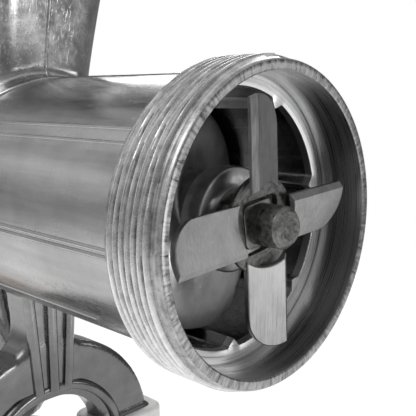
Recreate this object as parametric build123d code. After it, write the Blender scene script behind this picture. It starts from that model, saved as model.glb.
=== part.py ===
from build123d import *
import os
from math import cos, radians, sin

# Hand crank meat grinder that clamps to a table edge, without its ring nut and cutting plate.
# Millimetres, +Z up, +X the way the meat comes out. The origin is where the axis of the clamp
# screw meets the table top, which is the plane of the foot pads' undersides.

# ---- Barrel and the casting round it
AXIS_Z = 100.0            # barrel axis above the table top
RIM_X = 130.0             # front rim ahead of the clamp screw axis
BARREL_LENGTH = 152.0     # front rim to the rear of the barrel
BARREL_R = 35.0
BORE_R = 32.0
REAR_WALL = 5.0
THREAD_R = 39.0           # ring nut thread, over its crests
THREAD_DEPTH = 1.1
THREAD_TURNS = 7
THREAD_PITCH = 1.84
COLLAR_LENGTH = 2.5       # plain land between the thread and the rim
RIM_R = 37.4
SEAT_R = 35.3             # recess for the cutting plate
SEAT_DEPTH = 12.9
RIFLE_COUNT = 7           # ribs along the bore that stop the meat from turning
RIFLE_WIDTH = 5.0
RIFLE_HEIGHT = 2.2
RIFLE_PHASE = -143.5      # degrees from +Y towards +Z
SEAM_WIDTH = 2.0          # parting line along the top of the barrel
SEAM_HEIGHT = 1.0
SEAM_END_GAP = 22.0       # from the seam's end to the back of the thread

# ---- Rear bearing
CONE_LENGTH = 18.0
BOSS_R = 17.0
BOSS_LENGTH = 18.0
BUSH_R = 13.0
BUSH_FLANGE_R = 15.5
BUSH_FLANGE = 1.5

# ---- Throat and hopper
THROAT_X = 8.0            # centre of the throat
THROAT_HALF_X = 27.5
THROAT_HALF_Y = 22.5
THROAT_CORNER = 12.0
HOPPER_HALF_X = 60.0
HOPPER_HALF_Y = 46.0
HOPPER_CORNER = 30.0
HOPPER_RISE = 98.0        # hopper's top above the barrel axis
HOPPER_PAN = 30.0         # depth of the pan above the throat
HOPPER_WALL = 3.2
HOPPER_BEAD = 2.5
HOPPER_BEAD_HEIGHT = 4.0

# ---- Front leg: a horseshoe with two feet
LEG_X = 20.0              # rear face of the leg
LEG_THICKNESS = 12.0
ARCH_Z = 2.0
ARCH_R = 24.0
LEG_OUTER_R = 44.0
BEAD_R = 28.5
BEAD_PROUD = 1.6
NECK_TOP = 6.7
NECK_BOTTOM = 9.2
NECK_LENGTH = 10.5         # from the wide foot of the neck to its narrow top
SPINE_TOP = 9.0
SPINE_BOTTOM = 6.0
SPINE_PROUD = 1.8
RIDGE_HALF = 1.3
RIDGE_PROUD = 1.6
FOOT_LIP_X = 1.8
FOOT_LIP_HEIGHT = 3.4

# ---- Foot pads
PAD_HEIGHT = 9.0
PAD_FLOOR = 6.0           # under the foot
PAD_HALF_X = 10.5
PAD_HALF_Y = 15.0
PAD_CORNER = 5.0
PAD_Y = 34.0

# ---- Clamp frame
WEB_HALF = 4.0
COLUMN_HALF = 8.5
COLUMN_INNER_X = -29.0
COLUMN_DEPTH = 18.0
JAW_BEAM_Z = 11.0         # underside of the beam behind the leg
ARM_TOP_Z = -64.0
ARM_DEPTH = 24.0
ARM_TIP_X = 12.0
RECESS_MARGIN = 4.5
RECESS_DEPTH = 3.5
CLAMP_BOSS_R = 13.0
CLAMP_BOSS_TOP_Z = -58.0
CLAMP_BOSS_END_Z = -92.0

# ---- Clamp screw
SCREW_R = 6.2
SCREW_END_Z = -140.0
SCREW_NECK_R = 4.5
DISC_R = 24.0
DISC_TOP_Z = -2.5
DISC_THICKNESS = 5.0
DISC_HUB_R = 11.0
DISC_HUB_LENGTH = 9.0
DISC_GROOVE_DEPTH = 0.8
DISC_GROOVE_WIDTH = 1.2
SOCKET_DEPTH = 9.0
RING_THICKNESS = 1.4
RING_R = 9.0
EYE_R = 9.0
EYE_LENGTH = 18.0
TOMMY_R = 3.2
TOMMY_HALF = 50.0
KNOB_R = 6.5
KNOB_LENGTH = 13.0

# ---- Feed screw and its shaft
SCREW_CLEARANCE = 0.6     # between the flight and the ribs of the bore
FLIGHT_PITCH = 31.0
FLIGHT_TIP_HALF = 34.0    # half angle that the flight fills at its tip
FLIGHT_ROOT_HALF = 80.0
CORE_R = 10.5
AUGER_FRONT_GAP = 1.0     # flight end behind the plate seat
NOSE_BOSS_R = 13.0
NOSE_BOSS_LENGTH = 6.4
SHAFT_CORE_R = 8.0
JOURNAL_R = 9.0
DRIVE_SQUARE = 10.0
KNIFE_SQUARE = 11.0
SQUARE_CORNER = 2.0
SQUARE_LENGTH = 4.8       # knife square ahead of the feed screw's boss
PIN_R = 4.6
PIN_PROUD = 2.15          # nose pin beyond the rim
PIN_CHAMFER = 0.9
THRUST_R = 16.0
THRUST_THICKNESS = 1.5

# ---- Cross knife
KNIFE_R = 30.5
KNIFE_HUB_R = 12.5
KNIFE_HUB_LENGTH = 5.0
KNIFE_HOLE = 12.2
KNIFE_RECESS_R = 10.0
KNIFE_RECESS_DEPTH = 1.2
BLADE_WIDTH = 12.0
BLADE_THICKNESS = 2.2
BLADE_TILT = 13.0
BLADE_PHASE = 3.5         # degrees from +Y towards +Z
BLADE_COUNT = 4

# ---- Crank
CRANK_LENGTH = 150.0
CRANK_GAP = 2.0           # between the rear boss and the crank
CRANK_HUB_R = 14.0
CRANK_HUB_LENGTH = 14.0
CRANK_WIDTH = 19.0
CRANK_THICKNESS = 8.0
CRANK_OFFSET = 10.0       # how far the arm cranks back
CRANK_BEND_START = 26.0   # below the shaft axis
CRANK_BEND_END = 52.0
CRANK_EYE_R = 9.5
CRANK_EYE_LENGTH = 11.0
SCREW_WASHER_R = 10.0
SCREW_WASHER = 1.6
WING_THREAD_R = 3.0
WING_THREAD_LENGTH = 14.0
WING_HUB_R = 6.5
WING_HUB_LENGTH = 9.0
WING_SPAN = 19.0
WING_THICKNESS = 3.4
WING_HEIGHT = 15.0

# ---- Grip
SPINDLE_R = 4.0
SPINDLE_HEAD_R = 6.2
SPINDLE_HEAD = 2.0
GRIP_LENGTH = 92.0
GRIP_R = 14.5
GRIP_WAIST_R = 11.0
GRIP_END_R = 12.0
GRIP_WASHER_R = 8.5
GRIP_WASHER = 1.5
FERRULE_LENGTH = 12.0
FERRULE_WALL = 0.9
NUT_R = 6.6
NUT_LENGTH = 7.0

# ---- Clearances
RUNNING = 0.05            # radial, in bearings
SCREW_FIT = 0.08          # radial, thread crests in their bores
SLIDE_FIT = 0.15          # a pad's pocket round a foot
AXIAL_GAP = 0.4           # between faces that turn past each other

# ---- Stations worked out from the sizes above
REAR_X = RIM_X - BARREL_LENGTH
BORE_END_X = REAR_X + REAR_WALL
SEAT_X = RIM_X - SEAT_DEPTH
THREAD_START_X = RIM_X - COLLAR_LENGTH - THREAD_TURNS * THREAD_PITCH
BOSS_FRONT_X = REAR_X - CONE_LENGTH
BOSS_END_X = BOSS_FRONT_X - BOSS_LENGTH
RIFLE_R = BORE_R - RIFLE_HEIGHT
AUGER_R = RIFLE_R - SCREW_CLEARANCE
HOPPER_TOP_Z = AXIS_Z + HOPPER_RISE
HOPPER_FLARE_Z = HOPPER_TOP_Z - HOPPER_PAN
THRUST_X = BORE_END_X + AXIAL_GAP
AUGER_X = THRUST_X + THRUST_THICKNESS
AUGER_END_X = SEAT_X - AUGER_FRONT_GAP
NOSE_X = AUGER_END_X + NOSE_BOSS_LENGTH
SQUARE_END_X = NOSE_X + SQUARE_LENGTH
PIN_END_X = RIM_X + PIN_PROUD
LEG_FRONT_X = LEG_X + LEG_THICKNESS
NECK_BOTTOM_Z = ARCH_Z + LEG_OUTER_R
NECK_TOP_Z = NECK_BOTTOM_Z + NECK_LENGTH
FOOT_Z = PAD_FLOOR
FOOT_X = LEG_X + LEG_THICKNESS / 2
BEARING_END_X = BOSS_END_X - BUSH_FLANGE
HUB_FRONT_X = BEARING_END_X - CRANK_GAP
HUB_END_X = HUB_FRONT_X - CRANK_HUB_LENGTH
ARM_X = (HUB_FRONT_X + HUB_END_X) / 2
GRIP_Z = AXIS_Z - CRANK_LENGTH
EYE_X = ARM_X - CRANK_OFFSET
EYE_END_X = EYE_X - CRANK_EYE_LENGTH / 2
GRIP_X = EYE_END_X - GRIP_WASHER - AXIAL_GAP
GRIP_END_X = GRIP_X - GRIP_LENGTH
DISC_HUB_END_Z = DISC_TOP_Z - DISC_THICKNESS - DISC_HUB_LENGTH
SOCKET_TOP_Z = DISC_HUB_END_Z + SOCKET_DEPTH


def rod_x(radius, x0, x1, z=AXIS_Z):
    """Round bar along X between two stations."""
    return Pos((x0 + x1) / 2, 0, z) * Rot(0, 90, 0) * Cylinder(radius, abs(x1 - x0))


def rod_z(radius, z0, z1, x=0.0, y=0.0):
    """Upright round bar."""
    return Pos(x, y, (z0 + z1) / 2) * Cylinder(radius, abs(z1 - z0))


def turned_x(points, z=AXIS_Z):
    """Solid turned about a line along X from (x, radius) points."""
    outline = Plane.XZ * make_face(Polyline(*points, close=True))
    return Pos(0, 0, z) * revolve(outline, axis=Axis.X)


def turned_z(points):
    """Solid turned about the clamp screw axis from (radius, z) points."""
    outline = Plane.XZ * make_face(Polyline(*points, close=True))
    return revolve(outline, axis=Axis.Z)


def square_x(side, corner, x0, x1, turn=0.0):
    """Square bar with round corners along the barrel axis."""
    bar = extrude(Rot(0, 0, turn) * RectangleRounded(side, side, corner), abs(x1 - x0))
    return Pos(min(x0, x1), 0, AXIS_Z) * Rot(0, 90, 0) * bar


def block(x0, x1, y0, y1, z0, z1):
    """Box between two corners."""
    return Pos((x0 + x1) / 2, (y0 + y1) / 2, (z0 + z1) / 2) * Box(x1 - x0, y1 - y0, z1 - z0)


def about_axis(shape, angle):
    """The shape, which stands at +Y of the barrel axis, turned from +Y towards +Z."""
    return Pos(0, 0, AXIS_Z) * Rot(angle, 0, 0) * shape


def side_plate(points, radii, half):
    """Plate in the XZ plane, as thick on both sides of it, with rounded corners."""
    outline = Plane.XZ * make_face(FilletPolyline(*points, radius=radii, close=True))
    return extrude(outline, half, both=True)


# ---- The casting
def barrel_outside():
    points = [(BOSS_END_X, 0), (BOSS_END_X, BOSS_R), (BOSS_FRONT_X, BOSS_R),
              (BOSS_FRONT_X + CONE_LENGTH * 0.45, BOSS_R + (BARREL_R - BOSS_R) * 0.62),
              (REAR_X, BARREL_R), (THREAD_START_X - THREAD_DEPTH, BARREL_R)]
    root = THREAD_R - THREAD_DEPTH
    points.append((THREAD_START_X, root))
    for turn in range(THREAD_TURNS):
        start = THREAD_START_X + turn * THREAD_PITCH
        points += [(start + THREAD_PITCH * 0.25, THREAD_R), (start + THREAD_PITCH * 0.6, THREAD_R)]
        points.append((start + THREAD_PITCH * 0.98, root))
    points += [(RIM_X - COLLAR_LENGTH + 0.1, root), (RIM_X - 0.5, root), (RIM_X, RIM_R), (RIM_X, 0)]
    return turned_x(points)


def hopper_sections(wall):
    """Throat and pan as rounded rectangles from the barrel up, drawn in by a wall."""
    flare = HOPPER_TOP_Z - HOPPER_FLARE_Z
    stations = [(AXIS_Z + 8, 0.0, 0.0), (AXIS_Z + BARREL_R, 0.0, 0.0),
                (HOPPER_FLARE_Z - 12, 0.05, 0.0), (HOPPER_FLARE_Z, 0.17, 0.1),
                (HOPPER_FLARE_Z + flare * 0.38, 0.55, 0.5), (HOPPER_FLARE_Z + flare * 0.75, 0.93, 0.95),
                (HOPPER_TOP_Z, 1.0, 1.0)]
    faces = []
    for z, share, rounding in stations:
        half_x = THROAT_HALF_X + share * (HOPPER_HALF_X - THROAT_HALF_X) - wall
        half_y = THROAT_HALF_Y + share * (HOPPER_HALF_Y - THROAT_HALF_Y) - wall
        corner = THROAT_CORNER + rounding * (HOPPER_CORNER - THROAT_CORNER) - wall
        faces.append(Pos(THROAT_X, 0, z) * RectangleRounded(2 * half_x, 2 * half_y, corner))
    return faces


def hopper_bead():
    z = HOPPER_TOP_Z - HOPPER_BEAD_HEIGHT
    outline = RectangleRounded(2 * (HOPPER_HALF_X + HOPPER_BEAD), 2 * (HOPPER_HALF_Y + HOPPER_BEAD),
                               HOPPER_CORNER + HOPPER_BEAD)
    return Pos(THROAT_X, 0, z) * extrude(outline, HOPPER_BEAD_HEIGHT)


def leg():
    """Horseshoe, neck, spine and feet."""
    ring = Pos(0, ARCH_Z) * (Circle(LEG_OUTER_R) - Circle(ARCH_R))
    above = Pos(0, FOOT_Z + LEG_OUTER_R) * Rectangle(4 * LEG_OUTER_R, 2 * LEG_OUTER_R)
    top_z = AXIS_Z - BORE_R
    crown_z = ARCH_Z + ARCH_R
    neck = make_face(Polyline((-NECK_TOP, top_z), (-NECK_TOP, NECK_TOP_Z),
                              (-NECK_BOTTOM, NECK_BOTTOM_Z), (-NECK_BOTTOM, crown_z + 4),
                              (NECK_BOTTOM, crown_z + 4), (NECK_BOTTOM, NECK_BOTTOM_Z),
                              (NECK_TOP, NECK_TOP_Z), (NECK_TOP, top_z), close=True))
    plate = extrude(Plane.YZ * (ring & above), LEG_THICKNESS) + extrude(Plane.YZ * neck, LEG_THICKNESS)
    bead = Pos(0, ARCH_Z) * (Circle(BEAD_R) - Circle(ARCH_R))
    plate += extrude(Plane.YZ * (bead & above), LEG_THICKNESS + BEAD_PROUD)
    spine = make_face(Polyline((-SPINE_TOP, top_z), (-SPINE_BOTTOM, crown_z + 1.5),
                               (SPINE_BOTTOM, crown_z + 1.5), (SPINE_TOP, top_z), close=True))
    plate += extrude(Plane.YZ * spine, LEG_THICKNESS + SPINE_PROUD)
    plate = Pos(LEG_X, 0, 0) * plate
    ridge_end = LEG_FRONT_X + SPINE_PROUD + RIDGE_PROUD
    plate += block(LEG_X, ridge_end, -RIDGE_HALF, RIDGE_HALF, crown_z + 1, top_z)
    for side in (-1, 1):
        low = min(side * (PAD_Y - PAD_HALF_Y + 4), side * (PAD_Y + PAD_HALF_Y - 4))
        high = max(side * (PAD_Y - PAD_HALF_Y + 4), side * (PAD_Y + PAD_HALF_Y - 4))
        plate += block(LEG_X - FOOT_LIP_X, LEG_FRONT_X + FOOT_LIP_X, low, high, FOOT_Z, FOOT_Z + FOOT_LIP_HEIGHT)
    return plate


def clamp_frame():
    """Web under the barrel, beam behind the leg, column and lower arm."""
    crown_z = ARCH_Z + ARCH_R
    column_rear = COLUMN_INNER_X - COLUMN_DEPTH
    web_top = AXIS_Z - BARREL_R + 4
    web = [(column_rear + 5, web_top), (LEG_X - 15, web_top), (LEG_X - 13, NECK_TOP_Z + 3),
           (LEG_X - 9, NECK_BOTTOM_Z + 3), (LEG_X - 3, crown_z + 11), (LEG_X + 2, crown_z + 6),
           (LEG_X + 2, crown_z), (LEG_X - 9, JAW_BEAM_Z + 4), (column_rear + 5, JAW_BEAM_Z + 4)]
    frame = side_plate(web, [1, 1, 4, 6, 3, 1, 1, 1, 1], WEB_HALF)
    beam = [(LEG_X + 1, crown_z + 5), (LEG_X + 1, crown_z), (LEG_X - 8, JAW_BEAM_Z + 2),
            (LEG_X - 16, JAW_BEAM_Z), (COLUMN_INNER_X - 4, JAW_BEAM_Z), (COLUMN_INNER_X - 4, JAW_BEAM_Z + 13),
            (LEG_X - 20, JAW_BEAM_Z + 9)]
    frame += side_plate(beam, [1, 1, 5, 5, 1, 1, 8], COLUMN_HALF)
    arm_end_z = ARM_TOP_Z - ARM_DEPTH
    column = [(column_rear, AXIS_Z - BOSS_R + 6), (column_rear, arm_end_z + 22), (column_rear + 22, arm_end_z),
              (ARM_TIP_X, arm_end_z), (ARM_TIP_X, ARM_TOP_Z), (COLUMN_INNER_X, ARM_TOP_Z),
              (COLUMN_INNER_X, JAW_BEAM_Z), (COLUMN_INNER_X + 7, JAW_BEAM_Z + 22),
              (COLUMN_INNER_X + 7, AXIS_Z - BOSS_R + 6)]
    frame += side_plate(column, [1, 14, 14, 4, 4, 9, 6, 9, 1], COLUMN_HALF)
    inset = RECESS_MARGIN
    pocket = [(column_rear + inset, JAW_BEAM_Z + 12), (column_rear + inset, arm_end_z + 22),
              (column_rear + 22, arm_end_z + inset), (ARM_TIP_X - CLAMP_BOSS_R - inset - 8, arm_end_z + inset),
              (ARM_TIP_X - CLAMP_BOSS_R - inset - 8, ARM_TOP_Z - inset), (COLUMN_INNER_X - inset, ARM_TOP_Z - inset),
              (COLUMN_INNER_X - inset, JAW_BEAM_Z + 12)]
    cutter = side_plate(pocket, [3, 9, 9, 3, 3, 3, 3], COLUMN_HALF + 1)
    core = side_plate(pocket, [3, 9, 9, 3, 3, 3, 3], COLUMN_HALF - RECESS_DEPTH)
    return frame - (cutter - core)


def hopper_outside():
    return loft(hopper_sections(0.0)) + hopper_bead()


def hopper_space():
    """What the meat falls through, down into the bore."""
    above = block(-200, 200, -200, 200, AXIS_Z + 8, HOPPER_TOP_Z + 1)
    return loft(hopper_sections(HOPPER_WALL)) & above


def barrel_casting():
    """Barrel, rear boss and threaded mouth, with ribs along the bore."""
    seam_end = THREAD_START_X - SEAM_END_GAP
    seam_start = THROAT_X + THROAT_HALF_X + 1
    seam_z = AXIS_Z + BARREL_R
    body = barrel_outside()
    body += block(seam_start, seam_end, -SEAM_WIDTH / 2, SEAM_WIDTH / 2, seam_z - 2, seam_z + SEAM_HEIGHT)
    body -= rod_x(BORE_R, BORE_END_X, RIM_X + 5)
    for rifle in range(RIFLE_COUNT):
        rib = block(BORE_END_X - 1, SEAT_X, RIFLE_R, BORE_R + 0.8, -RIFLE_WIDTH / 2, RIFLE_WIDTH / 2)
        body += about_axis(rib, RIFLE_PHASE + rifle * 360 / RIFLE_COUNT)
    body -= rod_x(SEAT_R, SEAT_X, RIM_X + 5)
    body -= rod_x(BUSH_R, BOSS_END_X - 5, BORE_END_X + 1)
    return body - hopper_space()


def hopper_casting():
    """Throat and pan above the barrel."""
    return hopper_outside() - barrel_outside() - hopper_space()


def frame_casting():
    """Leg, web, column and lower arm with its threaded boss, below the barrel."""
    frame = clamp_frame() + leg() + rod_z(CLAMP_BOSS_R, CLAMP_BOSS_END_Z, CLAMP_BOSS_TOP_Z)
    frame -= rod_z(SCREW_R + SCREW_FIT, CLAMP_BOSS_END_Z - 5, CLAMP_BOSS_TOP_Z + 5)
    return frame - barrel_outside() - hopper_outside()


def foot_pad(side):
    """Soft pad with a shallow pocket round the foot."""
    pad = extrude(RectangleRounded(2 * PAD_HALF_X, 2 * PAD_HALF_Y, PAD_CORNER), PAD_HEIGHT)
    pad = fillet(pad.edges().group_by(Axis.Z)[-1], 1.2)
    half_x = LEG_THICKNESS / 2 + FOOT_LIP_X + SLIDE_FIT
    half_y = PAD_HALF_Y - 4 + SLIDE_FIT
    pad -= block(-half_x, half_x, -half_y, half_y, PAD_FLOOR, PAD_HEIGHT + 1)
    return Pos(FOOT_X, side * PAD_Y, 0) * pad


# ---- Rear bearing
def rear_bush():
    sleeve = rod_x(BUSH_R, BOSS_END_X, BORE_END_X) + rod_x(BUSH_FLANGE_R, BEARING_END_X, BOSS_END_X)
    return sleeve - rod_x(JOURNAL_R + RUNNING, BEARING_END_X - 1, BORE_END_X + 1)


def thrust_washer():
    return rod_x(THRUST_R, THRUST_X, AUGER_X) - rod_x(JOURNAL_R, THRUST_X - 1, AUGER_X + 1)


# ---- Feed screw, shaft and knife
def flight_section():
    """Section across the feed screw: a core and one lobe whose flanks close in towards the tip."""
    def flank(sign):
        points = []
        for step in range(4):
            share = step / 3
            radius = CORE_R * 0.8 + share * (AUGER_R - CORE_R * 0.8)
            angle = radians(sign * (FLIGHT_ROOT_HALF + share * (FLIGHT_TIP_HALF - FLIGHT_ROOT_HALF)))
            points.append((radius * cos(angle), radius * sin(angle)))
        return points

    left, right = flank(1), flank(-1)
    edges = [Spline(*left), ThreePointArc(left[-1], (AUGER_R, 0), right[-1]), Spline(*reversed(right)),
             Line(right[0], left[0])]
    return make_face(edges) + Circle(CORE_R)


def auger_screw():
    length = AUGER_END_X - AUGER_X
    turns = -360 * length / FLIGHT_PITCH
    flight = Solid.extrude_linear_with_rotation(flight_section().face(), (0, 0, 0), (0, 0, length), turns)
    screw = Pos(AUGER_X, 0, AXIS_Z) * Rot(0, 90, 0) * flight
    screw += rod_x(NOSE_BOSS_R, AUGER_END_X - 3, NOSE_X)
    screw += rod_x(CORE_R + 4, AUGER_X, AUGER_X + 4)
    return screw - rod_x(SHAFT_CORE_R, AUGER_X - 1, NOSE_X + 1)


def auger_shaft():
    shaft = rod_x(SHAFT_CORE_R, AUGER_X, NOSE_X) + rod_x(JOURNAL_R, HUB_FRONT_X, AUGER_X)
    shaft += square_x(DRIVE_SQUARE, 1.0, HUB_END_X + 0.6, HUB_FRONT_X)
    shaft += square_x(KNIFE_SQUARE, SQUARE_CORNER, NOSE_X - 0.5, SQUARE_END_X, BLADE_PHASE)
    pin = rod_x(PIN_R, SQUARE_END_X, PIN_END_X)
    shaft += chamfer(pin.edges().group_by(Axis.X)[-1], PIN_CHAMFER)
    hole = rod_x(WING_THREAD_R + RUNNING, HUB_END_X - 5, HUB_END_X + WING_THREAD_LENGTH + 1)
    return shaft - hole


def cross_knife():
    hub_end = NOSE_X + 0.1 + KNIFE_HUB_LENGTH
    middle = hub_end - KNIFE_HUB_LENGTH / 2
    knife = rod_x(KNIFE_HUB_R, NOSE_X + 0.1, hub_end)
    for blade in range(BLADE_COUNT):
        plate = Box(BLADE_THICKNESS, KNIFE_R - 6, BLADE_WIDTH)
        plate = Pos(middle, 6 + (KNIFE_R - 6) / 2, 0) * Rot(0, BLADE_TILT, 0) * plate
        knife += about_axis(plate, BLADE_PHASE + blade * 360 / BLADE_COUNT)
    knife &= rod_x(KNIFE_R, SEAT_X - 5, RIM_X + 5)
    knife -= rod_x(KNIFE_RECESS_R, hub_end - KNIFE_RECESS_DEPTH, RIM_X + 5)
    return knife - square_x(KNIFE_HOLE, SQUARE_CORNER, NOSE_X - 5, RIM_X + 5, BLADE_PHASE)


# ---- Crank and grip
def crank_arm():
    half = CRANK_THICKNESS / 2
    z0, z1, z2 = AXIS_Z - CRANK_BEND_START, AXIS_Z - CRANK_BEND_END, GRIP_Z
    side = [(ARM_X + half, AXIS_Z), (ARM_X + half, z0), (EYE_X + half, z1), (EYE_X + half, z2),
            (EYE_X - half, z2), (EYE_X - half, z1 + 3), (ARM_X - half, z0 + 3), (ARM_X - half, AXIS_Z)]
    arm = side_plate(side, [1, 12, 12, 1, 1, 12, 12, 1], CRANK_WIDTH)
    width = CRANK_WIDTH / 2
    front = make_face(Polyline((-width, AXIS_Z), (-width * 0.78, GRIP_Z), (width * 0.78, GRIP_Z),
                               (width, AXIS_Z), close=True))
    arm &= Pos(HUB_END_X - 60, 0, 0) * extrude(Plane.YZ * front, 120)
    arm += rod_x(CRANK_HUB_R, HUB_END_X, HUB_FRONT_X)
    arm += rod_x(CRANK_EYE_R, EYE_END_X, EYE_X + CRANK_EYE_LENGTH / 2, GRIP_Z)
    arm -= square_x(DRIVE_SQUARE + 2 * SLIDE_FIT, 1.0, HUB_END_X - 5, HUB_FRONT_X + 5)
    return arm - rod_x(SPINDLE_R, EYE_END_X - 5, EYE_X + CRANK_EYE_LENGTH, GRIP_Z)


def crank_screw_washer():
    x = HUB_END_X - SCREW_WASHER
    return rod_x(SCREW_WASHER_R, x, HUB_END_X) - rod_x(WING_THREAD_R + SLIDE_FIT, x - 1, HUB_END_X + 1)


def crank_wing_screw():
    x = HUB_END_X - SCREW_WASHER
    screw = rod_x(WING_THREAD_R, x, HUB_END_X + WING_THREAD_LENGTH) + rod_x(WING_HUB_R, x - WING_HUB_LENGTH, x)
    wing = make_face(FilletPolyline((0, 0), (WING_SPAN * 0.6, 2), (WING_SPAN, WING_HEIGHT * 0.55),
                                    (WING_SPAN * 0.9, WING_HEIGHT), (WING_SPAN * 0.55, WING_HEIGHT * 0.85),
                                    (0, 5), radius=[0.5, 3, 4, 2.5, 5, 0.5], close=True))
    wing = extrude(wing, WING_THICKNESS / 2, both=True)
    wing = Pos(x - 1.5, 0, AXIS_Z) * Rot(0, -90, 0) * Rot(90, 0, 0) * wing
    for turn in (0, 180):
        screw += Pos(0, 0, AXIS_Z) * Rot(turn + 90, 0, 0) * Pos(0, 0, -AXIS_Z) * wing
    return screw


def grip_spindle():
    head_x = EYE_X + CRANK_EYE_LENGTH / 2
    spindle = rod_x(SPINDLE_R, GRIP_END_X - AXIAL_GAP - NUT_LENGTH + 2, head_x, GRIP_Z)
    return spindle + rod_x(SPINDLE_HEAD_R, head_x, head_x + SPINDLE_HEAD, GRIP_Z)


def grip_washer():
    ring = rod_x(GRIP_WASHER_R, EYE_END_X - GRIP_WASHER, EYE_END_X, GRIP_Z)
    return ring - rod_x(SPINDLE_R, EYE_END_X - GRIP_WASHER - 1, EYE_END_X + 1, GRIP_Z)


def wooden_grip():
    """Turned handle, waisted behind its ferrule and fullest near its end."""
    neck = GRIP_WAIST_R - FERRULE_WALL
    points = [(GRIP_X, neck), (GRIP_X - FERRULE_LENGTH, neck), (GRIP_X - FERRULE_LENGTH, GRIP_WAIST_R)]
    swell = [(GRIP_X - FERRULE_LENGTH, GRIP_WAIST_R), (GRIP_X - GRIP_LENGTH * 0.38, GRIP_R - 1.6),
             (GRIP_X - GRIP_LENGTH * 0.72, GRIP_R), (GRIP_END_X + 3, GRIP_END_R)]
    edges = [Polyline((GRIP_X, SPINDLE_R + RUNNING), *points), Spline(*swell),
             Polyline(swell[-1], (GRIP_END_X, GRIP_END_R - 3), (GRIP_END_X, SPINDLE_R + RUNNING),
                      (GRIP_X, SPINDLE_R + RUNNING))]
    outline = Plane.XZ * make_face(edges)
    return Pos(0, 0, GRIP_Z) * revolve(outline, axis=Axis.X)


def grip_ferrule():
    x = GRIP_X - FERRULE_LENGTH
    return rod_x(GRIP_WAIST_R, x, GRIP_X, GRIP_Z) - rod_x(GRIP_WAIST_R - FERRULE_WALL, x - 1, GRIP_X + 1, GRIP_Z)


def grip_end_nut():
    x = GRIP_END_X - AXIAL_GAP
    points = [(x, 0), (x, NUT_R), (x - NUT_LENGTH * 0.55, NUT_R), (x - NUT_LENGTH * 0.9, NUT_R * 0.6),
              (x - NUT_LENGTH, 0)]
    nut = turned_x(points, GRIP_Z)
    return nut - rod_x(SPINDLE_R, x - NUT_LENGTH + 2, x + 1, GRIP_Z)


# ---- Clamp
def clamp_pad_disc():
    z0, z1 = DISC_TOP_Z, DISC_TOP_Z - DISC_THICKNESS
    disc = turned_z([(0, z0), (DISC_R - 1, z0), (DISC_R, z0 - 1), (DISC_R, z1 + 1.5), (DISC_R - 2, z1),
                     (DISC_HUB_R + 3, z1), (DISC_HUB_R, z1 - 3), (DISC_HUB_R, DISC_HUB_END_Z),
                     (0, DISC_HUB_END_Z)])
    radius = DISC_R - 3
    while radius > DISC_R * 0.45:
        groove = rod_z(radius, z0 - DISC_GROOVE_DEPTH, z0 + 1) - rod_z(radius - DISC_GROOVE_WIDTH, z0 - 2, z0 + 2)
        disc -= groove
        radius -= 3.0
    return disc - rod_z(SCREW_R + SCREW_FIT, DISC_HUB_END_Z - 1, SOCKET_TOP_Z)


def pad_retaining_ring():
    z = DISC_HUB_END_Z - RING_THICKNESS
    return rod_z(RING_R, z, DISC_HUB_END_Z) - rod_z(SCREW_NECK_R + RUNNING, z - 1, DISC_HUB_END_Z + 1)


def clamp_screw():
    ring_z = DISC_HUB_END_Z - RING_THICKNESS - AXIAL_GAP
    neck_z = DISC_HUB_END_Z + AXIAL_GAP
    screw = turned_z([(0, SOCKET_TOP_Z - AXIAL_GAP), (SCREW_R - 2, SOCKET_TOP_Z - AXIAL_GAP),
                      (SCREW_R, SOCKET_TOP_Z - AXIAL_GAP - 2), (SCREW_R, neck_z), (SCREW_NECK_R, neck_z),
                      (SCREW_NECK_R, ring_z), (SCREW_R, ring_z), (SCREW_R, SCREW_END_Z),
                      (EYE_R, SCREW_END_Z - 2), (EYE_R, SCREW_END_Z - EYE_LENGTH + 2),
                      (EYE_R - 2, SCREW_END_Z - EYE_LENGTH), (0, SCREW_END_Z - EYE_LENGTH)])
    hole = Pos(0, 0, SCREW_END_Z - EYE_LENGTH / 2) * Rot(90, 0, 0) * Cylinder(TOMMY_R + SCREW_FIT, 4 * EYE_R)
    return screw - hole


def clamp_tommy_bar():
    return Pos(0, 0, SCREW_END_Z - EYE_LENGTH / 2) * Rot(90, 0, 0) * Cylinder(TOMMY_R, 2 * TOMMY_HALF)


def tommy_bar_knob(side):
    """Barrel knob pressed on the end of the bar."""
    inner = TOMMY_HALF - KNOB_LENGTH + 3
    points = [(inner, 0), (inner, KNOB_R - 1.5), (inner + 1.5, KNOB_R), (inner + KNOB_LENGTH - 3, KNOB_R),
              (inner + KNOB_LENGTH, KNOB_R - 3), (inner + KNOB_LENGTH, 0)]
    knob = revolve(Plane.XY * make_face(Polyline(*points, close=True)), axis=Axis.X)
    knob -= Pos(TOMMY_HALF / 2, 0, 0) * Rot(0, 90, 0) * Cylinder(TOMMY_R, TOMMY_HALF)
    return Pos(0, 0, SCREW_END_Z - EYE_LENGTH / 2) * Rot(0, 0, 90 * side) * knob


PARTS = {
    "barrel_casting": barrel_casting,
    "hopper_casting": hopper_casting,
    "frame_casting": frame_casting,
    "foot_pad_left": lambda: foot_pad(1),
    "foot_pad_right": lambda: foot_pad(-1),
    "rear_bush": rear_bush,
    "thrust_washer": thrust_washer,
    "auger_screw": auger_screw,
    "auger_shaft": auger_shaft,
    "cross_knife": cross_knife,
    "crank_arm": crank_arm,
    "crank_screw_washer": crank_screw_washer,
    "crank_wing_screw": crank_wing_screw,
    "grip_spindle": grip_spindle,
    "grip_washer": grip_washer,
    "wooden_grip": wooden_grip,
    "grip_ferrule": grip_ferrule,
    "grip_end_nut": grip_end_nut,
    "clamp_pad_disc": clamp_pad_disc,
    "pad_retaining_ring": pad_retaining_ring,
    "clamp_screw": clamp_screw,
    "clamp_tommy_bar": clamp_tommy_bar,
    "tommy_bar_knob_left": lambda: tommy_bar_knob(1),
    "tommy_bar_knob_right": lambda: tommy_bar_knob(-1),
}

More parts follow.
